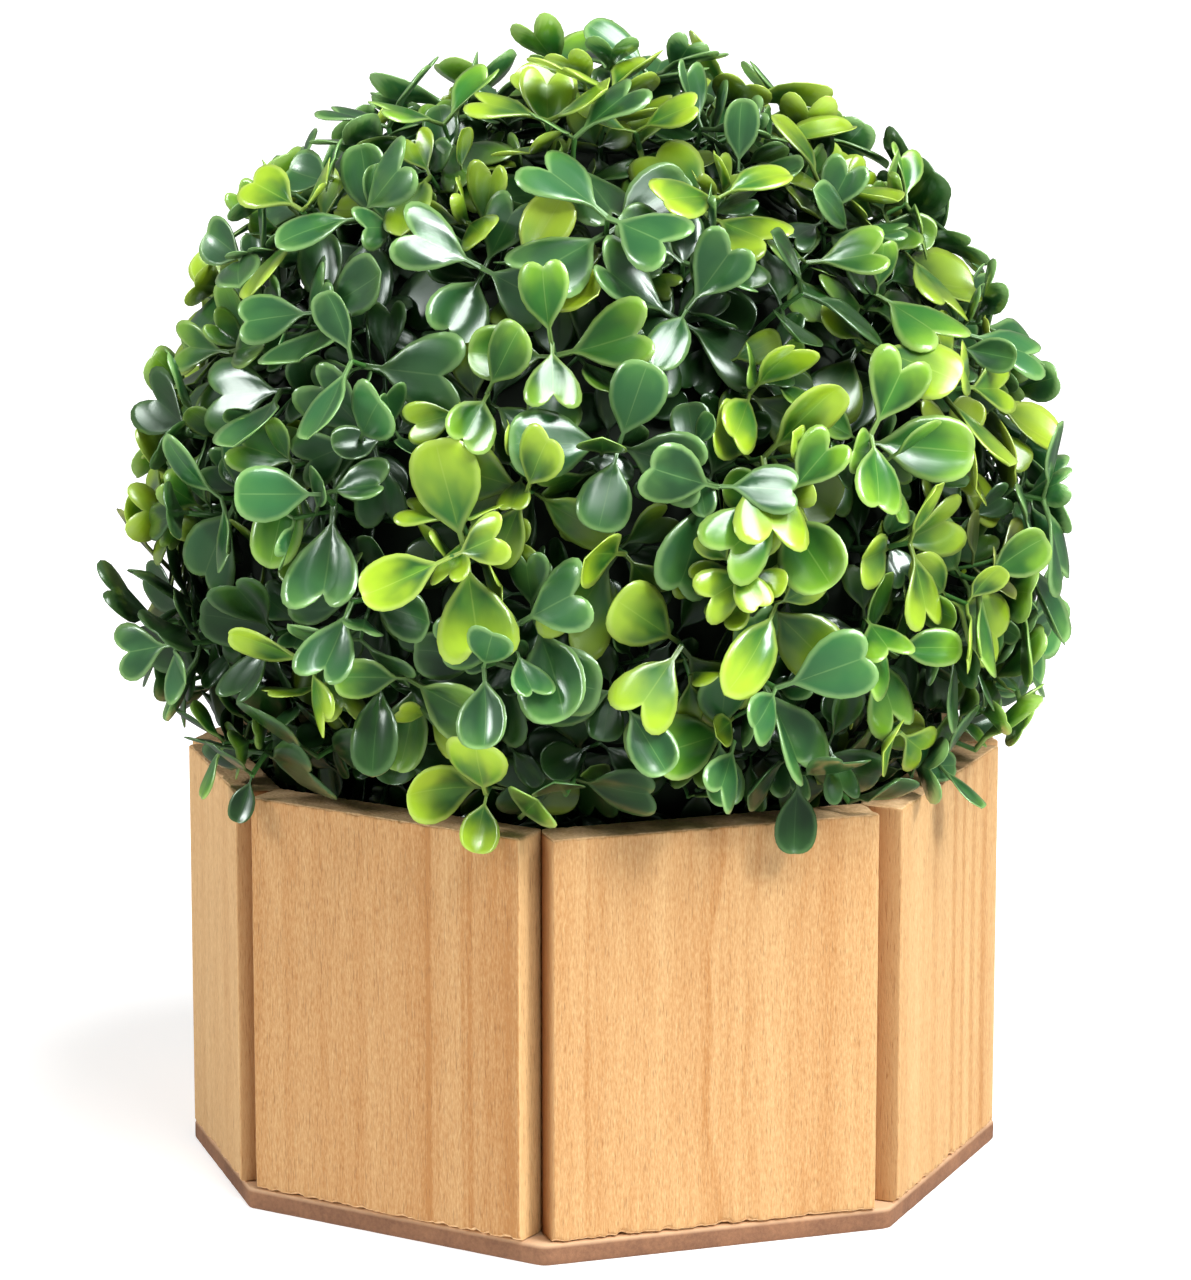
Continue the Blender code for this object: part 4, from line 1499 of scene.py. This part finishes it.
def make_stage(settings):
    """Sets up the white surroundings, the floor, the lights and the camera."""
    scene = bpy.context.scene
    scene.view_settings.view_transform = "Standard"
    world = bpy.data.worlds.new("white_studio")
    world.use_nodes = True
    background = world.node_tree.nodes["Background"]
    background.inputs["Color"].default_value = WHITE
    background.inputs["Strength"].default_value = WORLD_POWER * settings.light
    scene.world = world
    paper = new_material(
        "floor_matt_paper", Roughness=0.9, Base_Color=settings.floor, Emission_Color=WHITE,
        Emission_Strength=FLOOR_GLOW,
    )[0]
    corners = [
        (x * FLOOR_REACH, y * FLOOR_REACH, 0) for x, y in ((-1, -1), (1, -1), (1, 1), (-1, 1))
    ]
    floor = mesh_object("floor", corners, [(0, 1, 2, 3)], [paper])
    # It lights the leaves without lying as a grey film in their gloss.
    floor.visible_glossy = False
    floor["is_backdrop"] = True
    aim = Vector((0.0, 0.0, settings.camera_height))
    for name, (place, width, power) in LAMPS.items():
        light(name, "AREA", place, aim, power * settings.light).size = width
    sun = light("overhead", "SUN", OVERHEAD_WAY, (0, 0, 0), OVERHEAD_POWER * settings.light)
    sun.angle = OVERHEAD_ANGLE
    camera = bpy.data.objects.new("camera", bpy.data.cameras.new("camera"))
    camera.data.lens = settings.lens
    camera.data.sensor_width = SENSOR_WIDTH
    pitch, distance = settings.camera_pitch, settings.camera_distance
    camera.location = aim + Vector(
        (CAMERA_SIDE, -distance * math.cos(pitch), distance * math.sin(pitch))
    )
    camera.rotation_euler = (math.pi / 2 - pitch, 0.0, 0.0)
    scene.collection.objects.link(camera)
    scene.camera = camera


# Operators and panel.


class BOXBALL_OT_boards(bpy.types.Operator):
    """Make the eight upright boards of the planter"""

    bl_idname = "box_ball.boards"
    bl_label = "Boards"

    def execute(self, context):
        make_boards(context.scene.box_ball_planter)
        return {"FINISHED"}


class BOXBALL_OT_base(bpy.types.Operator):
    """Make the base plate, the stem and the foam's finish"""

    bl_idname = "box_ball.base"
    bl_label = "Base plate, foam and stem"

    def execute(self, context):
        settings = context.scene.box_ball_planter
        make_plate(settings)
        make_filling(settings)
        make_stem(settings)
        return {"FINISHED"}


class BOXBALL_OT_foliage(bpy.types.Operator):
    """Grow the ball: core, twigs and leaves"""

    bl_idname = "box_ball.foliage"
    bl_label = "Foliage"

    def execute(self, context):
        growth = grow_foliage(context.scene.box_ball_foliage)
        make_core()
        make_twigs(growth)
        make_leaves(growth)
        return {"FINISHED"}


class BOXBALL_OT_stage(bpy.types.Operator):
    """Set up the floor, the studio light and the camera"""

    bl_idname = "box_ball.stage"
    bl_label = "Stage"

    def execute(self, context):
        make_stage(context.scene.box_ball_stage)
        return {"FINISHED"}


class BOXBALL_PT_panel(bpy.types.Panel):
    """A button for each step"""

    bl_label = "Box ball"
    bl_space_type = "VIEW_3D"
    bl_region_type = "UI"
    bl_category = "Box ball"

    def draw(self, context):
        for step in STEPS:
            self.layout.operator(step.bl_idname)


STEPS = (BOXBALL_OT_boards, BOXBALL_OT_base, BOXBALL_OT_foliage, BOXBALL_OT_stage)
SETTINGS = {
    "box_ball_planter": PlanterSettings,
    "box_ball_foliage": FoliageSettings,
    "box_ball_stage": StageSettings,
}
CLASSES = tuple(SETTINGS.values()) + STEPS + (BOXBALL_PT_panel,)


def register():
    for cls in CLASSES:
        bpy.utils.register_class(cls)
    for name, cls in SETTINGS.items():
        setattr(bpy.types.Scene, name, PointerProperty(type=cls))


def unregister():
    for name in SETTINGS:
        delattr(bpy.types.Scene, name)
    for cls in reversed(CLASSES):
        bpy.utils.unregister_class(cls)


def main():
    register()
    bpy.ops.box_ball.stage()
    bpy.ops.box_ball.boards()
    bpy.ops.box_ball.base()
    bpy.ops.box_ball.foliage()
    boxes = {"cad": CAD_BOUNDS, "visual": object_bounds()}
    plain = {name: [list(corner) for corner in box] for name, box in boxes.items()}


if __name__ == "__main__":
    main()
